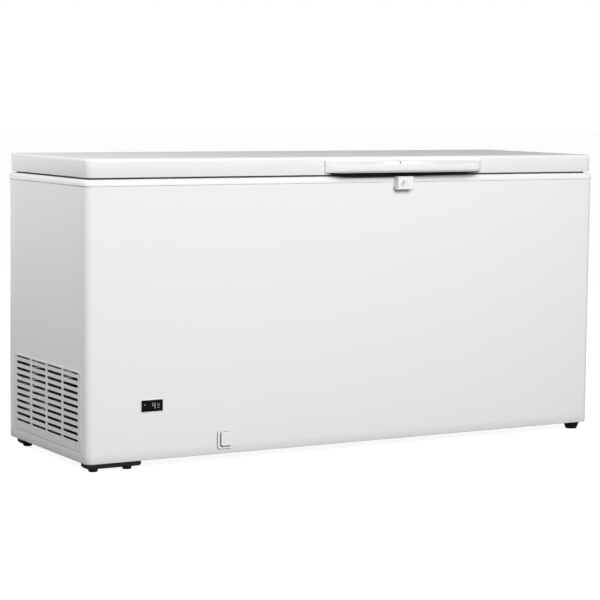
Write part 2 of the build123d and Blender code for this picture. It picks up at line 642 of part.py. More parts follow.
def side_grille():
    """Louvred plate over the machine space, four columns of slots with slanted vanes behind."""
    x0 = -SHELL_X - RIM_PROUD
    y_mid, z_mid = sum(GRILLE_Y) / 2, sum(GRILLE_Z) / 2
    outline = RectangleRounded(GRILLE_Y[1] - GRILLE_Y[0], GRILLE_Z[1] - GRILLE_Z[0], 8)
    outline = Plane.YZ * Pos(y_mid, z_mid) * outline
    plate = Pos(x0, 0, 0) * extrude(outline, RIM_PROUD)
    rows = [(80.1, 7.0)] + [(98.8 + 18.72 * k, 8.4) for k in range(9)] + [(265.0, 5.0)]
    slots, vanes = [], []
    for column_y in (y_mid - 168, y_mid - 56, y_mid + 56, y_mid + 168):
        for z, height in rows:
            face = Plane.YZ * Pos(column_y, z) * RectangleRounded(101, height, height / 2 - 0.1)
            slots.append(Pos(x0 - 1, 0, 0) * extrude(face, 6))
            if z > 260:
                continue
            vane = make_face(Plane.XZ * Polyline((0, 0), (1.2, 0), (7.5, 8), (6.3, 8), close=True))
            vane = extrude(vane, 98, dir=(0, 1, 0))
            vanes.append(Pos(-SHELL_X - 0.4, column_y - 49, z + height / 2 - 0.3) * vane)
    plate = plate - slots
    return plate + vanes


def cabinet_screws():
    """Screws that hold the grille, the rear vent cover and the hinge channels."""
    x = -SHELL_X + 0.6
    screws = [screw((x, y, z), (-1, 0, 0), 9) for y in (-229.5, 226.5) for z in (62, 263)]
    y = SHELL_REAR_Y + SHEET
    screws += [screw((sx, y, z), (0, 1, 0), 10) for sx in (-807, -593) for z in (54, 276)]
    y = SHELL_REAR_Y + 2
    channel = [screw((sx, y, z), (0, 1, 0), 14) for sx in (-20, 20) for z in (704, 735)]
    return group(screws + [at_hinges(group(channel))])


def power_inlet_gland():
    """Grommet in the vent cover where the mains lead goes in."""
    y0 = SHELL_REAR_Y - SHEET
    gland = rod((GLAND_X, y0 - 4, GLAND_Z), (0, 1, 0), 14, 8.1)
    gland += rod((GLAND_X, y0 + 1.6, GLAND_Z), (0, 1, 0), 3, 12)
    gland += rod((GLAND_X, y0 - 4, GLAND_Z), (0, 1, 0), 4, 11)
    return gland - rod((GLAND_X, y0 - 10, GLAND_Z), (0, 1, 0), 30, 4)


# ------------------------------------------------------------- display
def window_form(y0, y1):
    return tablet(DISPLAY_X[0] + BEZEL_RIM, DISPLAY_X[1] - BEZEL_RIM,
                  DISPLAY_Z[0] + BEZEL_RIM, DISPLAY_Z[1] - BEZEL_RIM, y0, y1, 2)


def display_bezel():
    y0, y1 = SHELL_FRONT_Y - 1.5, SHELL_FRONT_Y
    frame = tablet(*DISPLAY_X, *DISPLAY_Z, y0, y1, 3)
    x0, x1 = DISPLAY_X[0] + 4.2, DISPLAY_X[1] - 4.2
    z0, z1 = DISPLAY_Z[0] + 4.2, DISPLAY_Z[1] - 4.2
    frame += tablet(x0, x1, z0, z1, y1, y1 + 14, 2)
    return frame - window_form(y0 - 1, y1 - 0.3) - tablet(
        x0 + 1.5, x1 - 1.5, z0 + 1.5, z1 - 1.5, y0 - 1, y1 + 20, 1)


def display_window():
    """Dark clear plate set into the bezel."""
    y1 = SHELL_FRONT_Y - 0.3
    return window_form(y1 - 0.9, y1)


def display_marks():
    """Lit marks: the digit four, an arrowhead and a dash."""
    y0, y1 = SHELL_FRONT_Y - 1.5, SHELL_FRONT_Y - 1.2
    x, z, bar = -648.0, 172.5, 1.7
    marks = [block(x - 4.6, x - 4.6 + bar, y0, y1, z + 1.2, z + 8.5),
             block(x + 2.9, x + 2.9 + bar, y0, y1, z - 8.5, z + 8.5),
             block(x - 2.7, x + 2.7, y0, y1, z - bar / 2, z + bar / 2)]
    arrow = make_face(Plane.XZ * Polyline((-677, z + 4), (-672.6, z + 4), (-674.8, z + 0.4), close=True))
    marks.append(Pos(0, y0, 0) * extrude(arrow, y1 - y0, dir=(0, 1, 0)))
    ring = Plane.XZ * Pos(x + 14, z + 2) * (Circle(3.8) - Circle(2.9))
    marks.append(Pos(0, y1, 0) * extrude(ring, y1 - y0))
    marks.append(block(x + 11, x + 17, y0, y1, z - 6.6, z - 5.4))
    return group(marks)


def display_board():
    """Circuit board behind the window, with its two lamps blocks and a connector."""
    y = SHELL_FRONT_Y + 15
    x0, x1 = DISPLAY_X[0] - 6, DISPLAY_X[1] + 6
    board = block(x0, x1, y, y + 1.6, DISPLAY_Z[0] - 10, DISPLAY_Z[1] + 10)
    board += block(-668, -642, y - 6, y, 166, 179)
    return board + block(-690, -672, y + 1.6, y + 9, 150, 158)


def controller_box():
    """Open-fronted plastic box round the board, fixed inside the shell."""
    y0, y1 = SHELL_FRONT_Y + SHEET, SHELL_FRONT_Y + 46
    outer = block(-702, -608, y0, y1, 138, 206)
    return outer - block(-699, -611, y0 - 1, y1 - 3, 141, 203) - block(-665, -645, y1 - 5, y1 + 5, 141, 149)


def wiring_loom():
    """Bundle from the controller box to the relay box."""
    y = SHELL_FRONT_Y + 43
    return tube([(-655, y, 145), (-655, y + 30, 145), (-655, y + 30, 70), (-600, y + 30, 70),
                 (-600, COMPRESSOR_Y, 70), (-600, COMPRESSOR_Y, 90)], 4, 12)


PROBE_BOX = (-560, -440, TUB_FRONT_Y - SHEET - 9, TUB_FRONT_Y - SHEET, 560, 569)


def temperature_probe():
    """Sensor in a pocket against the tub's outside."""
    x0, x1, y0, y1, z0, z1 = PROBE_BOX
    return rod((x0 + 5, (y0 + y1) / 2, (z0 + z1) / 2), (1, 0, 0), x1 - x0 - 10, 4)


# ------------------------------------------------------------- drain
def drain_path():
    return [(DRAIN_X, SHELL_FRONT_Y + 22, DRAIN_Z), (DRAIN_X, DRAIN_Y, DRAIN_Z),
            (DRAIN_X, DRAIN_Y, FLOOR_Z - 8)]


def drain_tube():
    return tube(drain_path(), 10, 18) - tube(drain_path(), 8, 18)


def drain_outlet():
    """Square plate on the front with a short spout behind it."""
    x0, x1, z0, z1 = DRAIN_X - 24, DRAIN_X + 24, DRAIN_Z - 25.5, DRAIN_Z + 25.5
    plate = tablet(x0, x1, z0, z1, SHELL_FRONT_Y - 3, SHELL_FRONT_Y, 7)
    spout = rod((DRAIN_X, SHELL_FRONT_Y, DRAIN_Z), (0, 1, 0), 22, 12)
    return plate + spout - rod((DRAIN_X, SHELL_FRONT_Y - 10, DRAIN_Z), (0, 1, 0), 40, 8)


def drain_cap():
    """Pull-off cap with a stem that plugs the spout."""
    y = SHELL_FRONT_Y - 3.3
    cap = tablet(DRAIN_X - 15, DRAIN_X + 17, DRAIN_Z - 17.5, DRAIN_Z + 22, y - 5, y, 5)
    cap = chamfer(cap.faces().sort_by(Axis.Y)[0].edges(), 1.2)
    return cap + rod((DRAIN_X, y, DRAIN_Z), (0, 1, 0), 18, 7.6)


def floor_drain_collar():
    """Flanged collar in the tub floor, joined to the drain tube."""
    collar = rod((DRAIN_X, DRAIN_Y, FLOOR_Z - 8), (0, 0, 1), 8, 11) + rod(
        (DRAIN_X, DRAIN_Y, FLOOR_Z), (0, 0, 1), 1.5, 18)
    return collar - rod((DRAIN_X, DRAIN_Y, FLOOR_Z - 10), (0, 0, 1), 20, 8)


def floor_drain_plug():
    """Rubber plug in the collar, with a lifting lug."""
    z = FLOOR_Z + 1.8
    plug = rod((DRAIN_X, DRAIN_Y, z), (0, 0, 1), 3, 14) + rod((DRAIN_X, DRAIN_Y, z), (0, 0, -1), 8, 7.6)
    lug = block(DRAIN_X - 6, DRAIN_X + 6, DRAIN_Y - 1.5, DRAIN_Y + 1.5, z + 2, z + 13)
    lug = fillet(lug.edges().filter_by(Axis.Y).group_by(Axis.Z)[-1], 4)
    return plug + lug - rod((DRAIN_X, DRAIN_Y - 5, z + 8.5), (0, 1, 0), 10, 2.2)


# ------------------------------------------------------------- basket
BASKET_X = (-770.0, -520.0)
BASKET_Z = 560.0
HANG_Z = RIM_Z + 3.2      # rods rest on the rim's ledge


def grid(width, height, wire, pitch):
    """Flat lattice in XY, with a wire at every edge."""
    lattice = Rectangle(width, height)
    nx, ny = round((width - wire) / pitch), round((height - wire) / pitch)
    cell_x, cell_y = (width - wire) / nx - wire, (height - wire) / ny - wire
    return lattice - GridLocations(cell_x + wire, cell_y + wire, nx, ny) * Rectangle(cell_x, cell_y)


def basket():
    """Hanging wire basket: floor, four sides and the two rods that rest on the ledge."""
    x0, x1 = BASKET_X
    wire, depth = 4.0, HANG_Z - BASKET_Z
    y0, y1 = TUB_FRONT_Y + 8, TUB_REAR_Y - 8
    mid_x, mid_y = (x0 + x1) / 2, (y0 + y1) / 2
    z = BASKET_Z + wire + (depth - wire) / 2
    floor = Pos(mid_x, mid_y, BASKET_Z) * extrude(grid(x1 - x0, y1 - y0, wire, 42), wire)
    along_x = grid(x1 - x0, depth - wire, wire, 42)
    along_y = grid(y1 - y0 - 2 * wire, depth - wire, wire, 42)
    sides = [extrude(Plane((mid_x, y, z), x_dir=(1, 0, 0), z_dir=(0, -1, 0)) * along_x, wire)
             for y in (y0 + wire, y1)]
    sides += [extrude(Plane((x, mid_y, z), x_dir=(0, 1, 0), z_dir=(1, 0, 0)) * along_y, wire)
              for x in (x0, x1 - wire)]
    rods = [block(x, x + wire, TUB_FRONT_Y - 12, TUB_REAR_Y + 12, HANG_Z, HANG_Z + wire)
            for x in (x0, x1 - wire)]
    return group([floor] + sides + rods)


# ------------------------------------------------------------- feet
def left_skids():
    """Black moulded skids under the machine end, each with two round pads."""
    def skid(y0, y1, pad_y, length):
        bar = block(-846, -846 + length, y0, y1, 9, BASE_Z)
        bar = chamfer(bar.edges().filter_by(Axis.Y).group_by(Axis.Z)[0], 5)
        for x in (-821, -846 + length - 36):
            pad = rod((x, pad_y, 0), (0, 0, 1), 12, 13)
            bar += chamfer(pad.edges().sort_by(Axis.Z)[0], 2)
        return bar
    return group([skid(-272, -232, -256, 162), skid(183, 223, 207, 162)])


def right_feet():
    """Tapered round feet under the right end."""
    foot = Cone(17, 25, BASE_Z)
    return group([Pos(808, y, BASE_Z / 2) * foot for y in (-245, 245)])


# ------------------------------------------------------------- write the sub-parts
NODES = {
    "cabinet_shell": cabinet_shell(), "rear_panel": rear_panel(), "bottom_panel": bottom_panel(),
    "inner_liner": inner_liner(), "machine_partition": machine_partition(),
    "condenser_tube": condenser_tube(), "evaporator_tube": evaporator_tube(),
    "cabinet_foam": cabinet_foam(),
    "rim_front": rim_bar(WIDTH, 0, 0, SHELL_FRONT_Y - RIM_PROUD),
    "rim_rear": rim_bar(WIDTH, 180, 0, SHELL_REAR_Y + RIM_PROUD),
    "rim_left": rim_bar(RIM_DEPTH, -90, -WIDTH / 2, MID_Y),
    "rim_right": rim_bar(RIM_DEPTH, 90, WIDTH / 2, MID_Y),
    "lid_skin": lid_skin(), "lid_inner_panel": lid_inner_panel(), "lid_foam": lid_foam(),
    "lid_gasket": lid_gasket(), "handle": handle(), "lid_screws": lid_screws(),
    "lock_keeper": lock_keeper(), "lock_housing": lock_housing(), "lock_cylinder": lock_cylinder(),
    "lock_bolt": lock_bolt(), "hinge_bodies": hinge_bodies(), "hinge_pins": hinge_pins(),
    "hinge_arms": hinge_arms(), "hinge_springs": hinge_springs(), "spring_cups": spring_cups(),
    "hinge_covers": hinge_covers(), "rear_spacers": rear_spacers(),
    "base_plate": base_plate(), "compressor_cradle": compressor_cradle(),
    "compressor_mounts": compressor_mounts(), "compressor_bolts": compressor_bolts(),
    "compressor_can": compressor_can(), "compressor_motor": compressor_motor(),
    "relay_box": relay_box(), "filter_drier": filter_drier(), "discharge_tube": discharge_tube(),
    "liquid_tube": liquid_tube(), "capillary_tube": capillary_tube(), "suction_tube": suction_tube(),
    "side_grille": side_grille(), "rear_vent_panel": rear_vent_panel(), "cabinet_screws": cabinet_screws(),
    "power_inlet_gland": power_inlet_gland(), "display_bezel": display_bezel(),
    "display_window": display_window(), "display_marks": display_marks(),
    "display_board": display_board(), "controller_box": controller_box(),
    "wiring_loom": wiring_loom(), "temperature_probe": temperature_probe(),
    "drain_outlet": drain_outlet(), "drain_tube": drain_tube(), "drain_cap": drain_cap(),
    "floor_drain_collar": floor_drain_collar(), "floor_drain_plug": floor_drain_plug(),
    "basket": basket(), "left_skids": left_skids(), "right_feet": right_feet(),
}
for name, shape in NODES.items():
    export_step(shape, f"parts/{name}.step")
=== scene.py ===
import json
from math import cos, exp, log, pi, radians, sin
import bmesh
import bpy
from mathutils import Matrix, Vector


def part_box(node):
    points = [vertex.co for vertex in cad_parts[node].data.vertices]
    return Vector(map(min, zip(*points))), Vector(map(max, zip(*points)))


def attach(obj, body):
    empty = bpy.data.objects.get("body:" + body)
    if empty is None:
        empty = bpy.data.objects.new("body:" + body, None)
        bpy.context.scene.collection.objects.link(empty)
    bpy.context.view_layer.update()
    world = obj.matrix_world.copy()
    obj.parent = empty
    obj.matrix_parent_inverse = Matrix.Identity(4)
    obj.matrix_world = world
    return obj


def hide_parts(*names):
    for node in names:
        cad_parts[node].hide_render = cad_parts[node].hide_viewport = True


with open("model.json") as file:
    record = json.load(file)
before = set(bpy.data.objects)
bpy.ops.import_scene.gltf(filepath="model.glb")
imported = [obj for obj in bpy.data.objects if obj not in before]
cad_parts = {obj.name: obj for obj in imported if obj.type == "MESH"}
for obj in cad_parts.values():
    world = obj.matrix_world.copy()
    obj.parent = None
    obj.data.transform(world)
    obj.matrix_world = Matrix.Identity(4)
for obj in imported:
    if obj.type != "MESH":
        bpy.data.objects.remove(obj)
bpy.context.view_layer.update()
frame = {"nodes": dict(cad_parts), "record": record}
nodes = frame["nodes"]


# ---------------------------------------------------------------- cabinet wrap
# One sheet of pre-coated white steel, folded round the front and both ends, with a small
# return at the back and a hem turned in along the floor edge. Openings are punched before
# folding; the grille, the display and the drain plate cover their edges.
wrap_lo, wrap_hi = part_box("cabinet_shell")
grille_lo, grille_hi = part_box("side_grille")
display_lo, display_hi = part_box("display_bezel")
drain_lo, drain_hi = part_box("drain_outlet")
WRAP_CORNER = 0.020
SHEET = 0.0008
CORNER_STEPS = 8


def finish_group():
    """Slow tint drift, fingerprints in the gloss, a fine grain and dust that gathers low down."""
    group = bpy.data.node_groups.new("handled_surface", "ShaderNodeTree")
    face = group.interface
    for name, kind, value in (
        ("Base", "NodeSocketColor", (0.8, 0.8, 0.8, 1)), ("Drift", "NodeSocketColor", (0.7, 0.7, 0.7, 1)),
        ("Dust", "NodeSocketColor", (0.45, 0.43, 0.40, 1)), ("Drift Amount", "NodeSocketFloat", 0.3),
        ("Dust Amount", "NodeSocketFloat", 0.1), ("Dust Height", "NodeSocketFloat", 0.12),
        ("Gloss", "NodeSocketFloat", 0.35), ("Gloss Spread", "NodeSocketFloat", 0.08),
        ("Grain Size", "NodeSocketFloat", 900.0), ("Edge Wear", "NodeSocketFloat", 0.0),
        ("Edge Colour", "NodeSocketColor", (0.9, 0.9, 0.9, 1)),
    ):
        socket = face.new_socket(name=name, in_out="INPUT", socket_type=kind)
        socket.default_value = value
    for name, kind in (("Colour", "NodeSocketColor"), ("Roughness", "NodeSocketFloat"),
                       ("Height", "NodeSocketFloat")):
        face.new_socket(name=name, in_out="OUTPUT", socket_type=kind)
    add, link = group.nodes.new, group.links.new
    inlet, outlet = add("NodeGroupInput"), add("NodeGroupOutput")
    place = add("ShaderNodeTexCoord")

    def noise(scale, detail):
        n = add("ShaderNodeTexNoise")
        link(place.outputs["Object"], n.inputs["Vector"])
        n.inputs["Detail"].default_value = detail
        if scale:
            n.inputs["Scale"].default_value = scale
        return n

    def maths(operation, a, b, clamp=False):
        m = add("ShaderNodeMath")
        m.operation = operation
        m.use_clamp = clamp
        for socket, value in zip(m.inputs, (a, b)):
            if isinstance(value, (int, float)):
                socket.default_value = value
            else:
                link(value, socket)
        return m.outputs[0]

    def blend_colour(factor, a, b):
        m = add("ShaderNodeMix")
        m.data_type = "RGBA"
        link(factor, m.inputs["Factor"])
        link(a, m.inputs["A"])
        link(b, m.inputs["B"])
        return m.outputs["Result"]

    drift = noise(3.0, 3.0)
    tinted = blend_colour(maths("MULTIPLY", drift.outputs["Fac"], inlet.outputs["Drift Amount"]),
                          inlet.outputs["Base"], inlet.outputs["Drift"])
    split = add("ShaderNodeSeparateXYZ")
    link(place.outputs["Object"], split.inputs["Vector"])
    low = maths("SUBTRACT", 1.0, maths("DIVIDE", split.outputs["Z"], inlet.outputs["Dust Height"]), True)
    specks = noise(38.0, 6.0)
    dusty = maths("MULTIPLY", maths("MULTIPLY", low, specks.outputs["Fac"]), inlet.outputs["Dust Amount"], True)
    dusted = blend_colour(dusty, tinted, inlet.outputs["Dust"])
    edges = add("ShaderNodeNewGeometry")
    raised = maths("MULTIPLY", maths("SUBTRACT", edges.outputs["Pointiness"], 0.53), 9.0, True)
    rubbed = noise(60.0, 4.0)
    worn = maths("MULTIPLY", maths("MULTIPLY", raised, rubbed.outputs["Fac"]), inlet.outputs["Edge Wear"], True)
    link(blend_colour(worn, dusted, inlet.outputs["Edge Colour"]), outlet.inputs["Colour"])
    smudge = noise(9.0, 5.0)
    centred = maths("SUBTRACT", smudge.outputs["Fac"], 0.5)
    gloss = maths("ADD", inlet.outputs["Gloss"], maths("MULTIPLY", centred, inlet.outputs["Gloss Spread"]))
    link(maths("ADD", gloss, maths("MULTIPLY", dusty, 0.5), True), outlet.inputs["Roughness"])
    grain = noise(None, 2.0)
    link(inlet.outputs["Grain Size"], grain.inputs["Scale"])
    link(grain.outputs["Fac"], outlet.inputs["Height"])
    return group


handled_surface = finish_group()


def surface(name, base, drift=None, gloss=0.4, grain=900.0, bump=0.02, metallic=0.0, coat=0.0,
            wear=0.0, edge=(0.9, 0.9, 0.9), dust=0.1, drift_amount=0.35, spread=0.1):
    """Principled material fed by the handled surface group."""
    mat = bpy.data.materials.new(name)
    mat.use_nodes = True
    tree = mat.node_tree
    shader = tree.nodes["Principled BSDF"]
    shader.inputs["Metallic"].default_value = metallic
    shader.inputs["Coat Weight"].default_value = coat
    shader.inputs["Coat Roughness"].default_value = 0.12
    group = tree.nodes.new("ShaderNodeGroup")
    group.node_tree = handled_surface
    drift = drift or tuple(0.93 * c for c in base)
    values = {"Base": (*base, 1), "Drift": (*drift, 1), "Drift Amount": drift_amount, "Gloss": gloss,
              "Gloss Spread": spread, "Grain Size": grain, "Edge Wear": wear, "Edge Colour": (*edge, 1),
              "Dust Amount": dust}
    for socket, value in values.items():
        group.inputs[socket].default_value = value
    relief = tree.nodes.new("ShaderNodeBump")
    relief.name = "relief"
    relief.inputs["Strength"].default_value = bump
    relief.inputs["Distance"].default_value = 0.001
    tree.links.new(group.outputs["Colour"], shader.inputs["Base Color"])
    tree.links.new(group.outputs["Roughness"], shader.inputs["Roughness"])
    tree.links.new(group.outputs["Height"], relief.inputs["Height"])
    tree.links.new(relief.outputs["Normal"], shader.inputs["Normal"])
    return mat


def outline_side(box, inset, corner, side, stops=()):
    """Points along one side of a rounded rectangle, from the middle of one corner to the next.

    Sides run anticlockwise: 0 front, 1 right, 2 rear, 3 left. Stops are extra x or y places.
    """
    x0, x1, y0, y1 = box
    r = max(corner - inset, 0.0004)
    x0, x1, y0, y1 = x0 + inset, x1 - inset, y0 + inset, y1 - inset
    centres = [(x0 + r, y0 + r), (x1 - r, y0 + r), (x1 - r, y1 - r), (x0 + r, y1 - r)]
    half = CORNER_STEPS // 2
    points = []
    start, end = centres[side], centres[(side + 1) % 4]
    for step in range(half + 1):
        a = radians(225 + 90 * side + 45 * step / half)
        points.append((start[0] + r * cos(a), start[1] + r * sin(a)))
    fixed = {0: y0, 1: x1, 2: y1, 3: x0}[side]
    ordered = sorted(stops, reverse=side in (2, 3))
    points += [(s, fixed) if side in (0, 2) else (fixed, s) for s in ordered]
    for step in range(half + 1):
        a = radians(270 + 90 * side + 45 * step / half)
        points.append((end[0] + r * cos(a), end[1] + r * sin(a)))
    return points


def outline(box, inset, corner, stops=((), (), (), ())):
    points = []
    for side in range(4):
        points += outline_side(box, inset, corner, side, stops[side])[:-1]
    return points


def piece(name, verts, faces, mat, body, replaced=(), smooth=40, modifiers=()):
    """Mesh object with its normals turned outwards, riding on a body in place of CAD nodes."""
    mesh = bpy.data.meshes.new(name)
    mesh.from_pydata([tuple(v) for v in verts], [], faces)
    work = bmesh.new()
    work.from_mesh(mesh)
    bmesh.ops.remove_doubles(work, verts=work.verts, dist=1e-6)
    bmesh.ops.recalc_face_normals(work, faces=work.faces)
    work.to_mesh(mesh)
    work.free()
    mesh.shade_smooth()
    mesh.set_sharp_from_angle(angle=radians(smooth))
    obj = bpy.data.objects.new(name, mesh)
    bpy.context.scene.collection.objects.link(obj)
    mesh.materials.append(mat)
    for kind, settings in modifiers:
        modifier = obj.modifiers.new(kind.lower(), kind)
        for key, value in settings.items():
            setattr(modifier, key, value)
    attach(obj, body)
    if replaced:
        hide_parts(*replaced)
    return obj


def bands(rings, closed=True):
    """Faces between neighbouring rings of equal length."""
    count = len(rings[0])
    verts = [v for ring in rings for v in ring]
    last = count if closed else count - 1
    faces = [(k * count + i, k * count + (i + 1) % count, (k + 1) * count + (i + 1) % count, (k + 1) * count + i)
             for k in range(len(rings) - 1) for i in range(last)]
    return verts, faces


white_coat = surface("white_coated_steel", (0.875, 0.876, 0.872), gloss=0.46, grain=1400, bump=0.012, coat=0.05,
                     drift_amount=0.12, dust=0.10)
cabinet_plan = (wrap_lo.x, wrap_hi.x, wrap_lo.y, wrap_hi.y)
grille_hole = (grille_lo.y + 0.012, grille_hi.y - 0.012, grille_lo.z + 0.012, grille_hi.z - 0.0045)
display_hole = (display_lo.x + 0.004, display_hi.x - 0.004, display_lo.z + 0.004, display_hi.z - 0.004)
drain_mid = (drain_lo + drain_hi) / 2
drain_hole = (drain_mid.x - 0.013, drain_mid.x + 0.013, drain_mid.z - 0.013, drain_mid.z + 0.013)
front_stops = sorted([-0.5, 0.0, 0.3, 0.6, *display_hole[:2], *drain_hole[:2]])
end_stops = sorted([0.0, *grille_hole[:2]])
levels = sorted([0.35, 0.55, wrap_hi.z, *grille_hole[2:], *display_hole[2:], *drain_hole[2:]])
floor_edge = [(0.016, wrap_lo.z), (0.0022, wrap_lo.z), (0.0008, wrap_lo.z + 0.0006), (0.0, wrap_lo.z + 0.0022)]
wrap_rings = []
for inset, z in floor_edge + [(0.0, z) for z in levels]:
    plan = outline(cabinet_plan, inset, WRAP_CORNER, (front_stops, (0.0,), (-0.4, 0.4), end_stops))
    wrap_rings.append([(x, y, z) for x, y in plan])
verts, faces = bands(wrap_rings)


def middle(face):
    """Middle point of a face of the mesh being made."""
    return sum((Vector(verts[i]) for i in face), Vector()) / len(face)


def in_opening(face):
    """Whether a face lies where the wrap is cut away."""
    m = middle(face)
    at_back = m.y > wrap_hi.y - 0.002 and abs(m.x) < wrap_hi.x - WRAP_CORNER
    at_grille = m.x < wrap_lo.x + 0.001 and grille_hole[0] < m.y < grille_hole[1] and (
        grille_hole[2] < m.z < grille_hole[3])
    on_front = m.y < wrap_lo.y + 0.001
    at_display = display_hole[0] < m.x < display_hole[1] and display_hole[2] < m.z < display_hole[3]
    at_drain = drain_hole[0] < m.x < drain_hole[1] and drain_hole[2] < m.z < drain_hole[3]
    return at_back or at_grille or (on_front and (at_display or at_drain))


piece("cabinet_wrap", verts, [f for f in faces if not in_opening(f)], white_coat, "cabinet",
      ["cabinet_shell"], 50,
      [("SOLIDIFY", {"thickness": SHEET, "offset": -1.0}), ("EDGE_SPLIT", {"split_angle": radians(30)})])


# ---------------------------------------------------------------- rim
# Extruded white plastic profile, cut to four lengths and welded at the mitred corners. It
# clips over the top of the wrap and the tub; baskets hang on its inner ledge.
white_plastic = surface("white_rim_plastic", (0.885, 0.886, 0.88), gloss=0.38, grain=700, bump=0.02,
                        drift_amount=0.15, dust=0.0)
rim_lo = Vector((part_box("rim_left")[0].x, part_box("rim_front")[0].y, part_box("rim_front")[0].z))
rim_hi = Vector((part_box("rim_right")[1].x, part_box("rim_rear")[1].y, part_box("rim_front")[1].z))
RIM_CORNER = 0.022
RIM_WIDTH = 0.0715
MITRE_GAP = 0.0002
deck = rim_hi.z
lip = rim_lo.z + 0.011
RIM_SECTION = [
    (0.0004, lip), (0.0, lip + 0.0006), (0.0, deck - 0.0088), (0.0006, deck - 0.0074),
    (0.0068, deck - 0.0012), (0.0082, deck), (0.0542, deck), (0.0550, deck - 0.0008),
    (0.0550, lip + 0.0036), (0.0556, lip + 0.003), (0.0708, lip + 0.003), (RIM_WIDTH, lip + 0.0022),
    (RIM_WIDTH, lip - 0.0105), (0.0710, lip - 0.011), (0.0700, lip - 0.011), (0.0700, lip),
    (0.052, lip), (0.052, deck - 0.003), (0.008, deck - 0.003), (0.002, deck - 0.009), (0.002, lip),
]
rim_plan = (rim_lo.x, rim_hi.x, rim_lo.y, rim_hi.y)
for side, name in enumerate(("rim_front", "rim_right", "rim_rear", "rim_left")):
    runs = []
    for inset, z in RIM_SECTION:
        run = outline_side(rim_plan, inset, RIM_CORNER, side, (0.0,))
        ahead = (Vector(run[-1]) - Vector(run[0])).normalized() * MITRE_GAP
        run = [Vector(run[0]) + ahead] + [Vector(p) for p in run[1:-1]] + [Vector(run[-1]) - ahead]
        runs.append([(p.x, p.y, z) for p in run])
    verts, faces = bands(runs, closed=False)
    count, rows = len(runs[0]), len(runs)
    faces += [((rows - 1) * count + i, (rows - 1) * count + i + 1, i + 1, i) for i in range(count - 1)]
    faces.append([k * count for k in range(rows)])
    faces.append([k * count + count - 1 for k in range(rows)][::-1])
    piece(name + "_profile", verts, faces, white_plastic, "cabinet", [name], 24)


# ---------------------------------------------------------------- tub
# Stucco-embossed aluminium sheet, folded into a tub with a step over the machine space.
# The evaporator tube is taped round its outside before foaming.
def stucco_metal():
    mat = surface("stucco_aluminium", (0.82, 0.83, 0.84), gloss=0.38, grain=1500, bump=0.0, metallic=0.7,
                  drift_amount=0.4, dust=0.0)
    tree = mat.node_tree
    place = tree.nodes.new("ShaderNodeTexCoord")
    pebbles = tree.nodes.new("ShaderNodeTexVoronoi")
    pebbles.feature = "SMOOTH_F1"
    pebbles.inputs["Scale"].default_value = 150.0
    tree.links.new(place.outputs["Object"], pebbles.inputs["Vector"])
    relief = tree.nodes["relief"]
    relief.inputs["Strength"].default_value = 0.55
    tree.links.new(pebbles.outputs["Distance"], relief.inputs["Height"])
    return mat


stucco = stucco_metal()
tub_lo, tub_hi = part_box("inner_liner")
TUB_CORNER = 0.012
STEP_X, STEP_Z = -0.500, 0.362
TUB_EDGE = 0.006
inner = (tub_lo.x + SHEET, tub_hi.x - SHEET, tub_lo.y + SHEET, tub_hi.y - SHEET)
tub_floor = tub_lo.z + SHEET


def rounded_floor_rings(plan, floor, top, stops):
    """Rings from a tub's mouth down its wall, round the bottom edge and onto the floor."""
    rings = [[(x, y, z) for x, y in outline(plan, 0.0, TUB_CORNER, stops)] for z in top]
    for step in range(5):
        a = radians(90 * step / 4)
        inset, z = TUB_EDGE * (1 - cos(a)), floor + TUB_EDGE * (1 - sin(a))
        rings.append([(x, y, z) for x, y in outline(plan, inset, TUB_CORNER, stops)])
    return rings


# the deep part and the step are two sheets; the step's sheet ends in a nose that laps the
# deep part's corners
deep_plan = (STEP_X, inner[1], inner[2], inner[3])
deep_rings = rounded_floor_rings(deep_plan, tub_floor, (tub_hi.z, STEP_Z), ((), (), (), ()))
verts, faces = bands(deep_rings)
faces = [f for f in faces if not (middle(f).x < STEP_X + TUB_CORNER and middle(f).z > STEP_Z)]
ring_size = len(deep_rings[0])
faces.append(list(range(len(verts) - ring_size, len(verts))))
deep_verts, deep_faces = verts, faces
nose_x = STEP_X + TUB_CORNER
step_plan = (inner[0], nose_x + TUB_CORNER, inner[2], inner[3])
step_rings = rounded_floor_rings(step_plan, STEP_Z, (tub_hi.z,), ((), (), (), ()))
verts, faces = bands(step_rings)
step_faces = [f for f in faces if middle(f).x < nose_x]
floor_ring = range(len(verts) - len(step_rings[-1]), len(verts))
step_faces.append([i for i in floor_ring if verts[i][0] < nose_x + 0.0001])
nose_low = STEP_Z - 0.005
nose = [(x, y, z) for x, z in ((nose_x, STEP_Z), (nose_x, nose_low), (STEP_X, nose_low)) for y in inner[2:]]
step_faces += [tuple(len(verts) + k for k in quad) for quad in ((0, 1, 3, 2), (2, 3, 5, 4))]
step_verts = verts + nose
verts = deep_verts + step_verts
faces = deep_faces + [tuple(i + len(deep_verts) for i in f) for f in step_faces]
piece("tub", verts, faces, stucco, "cabinet", ["inner_liner"], 40)


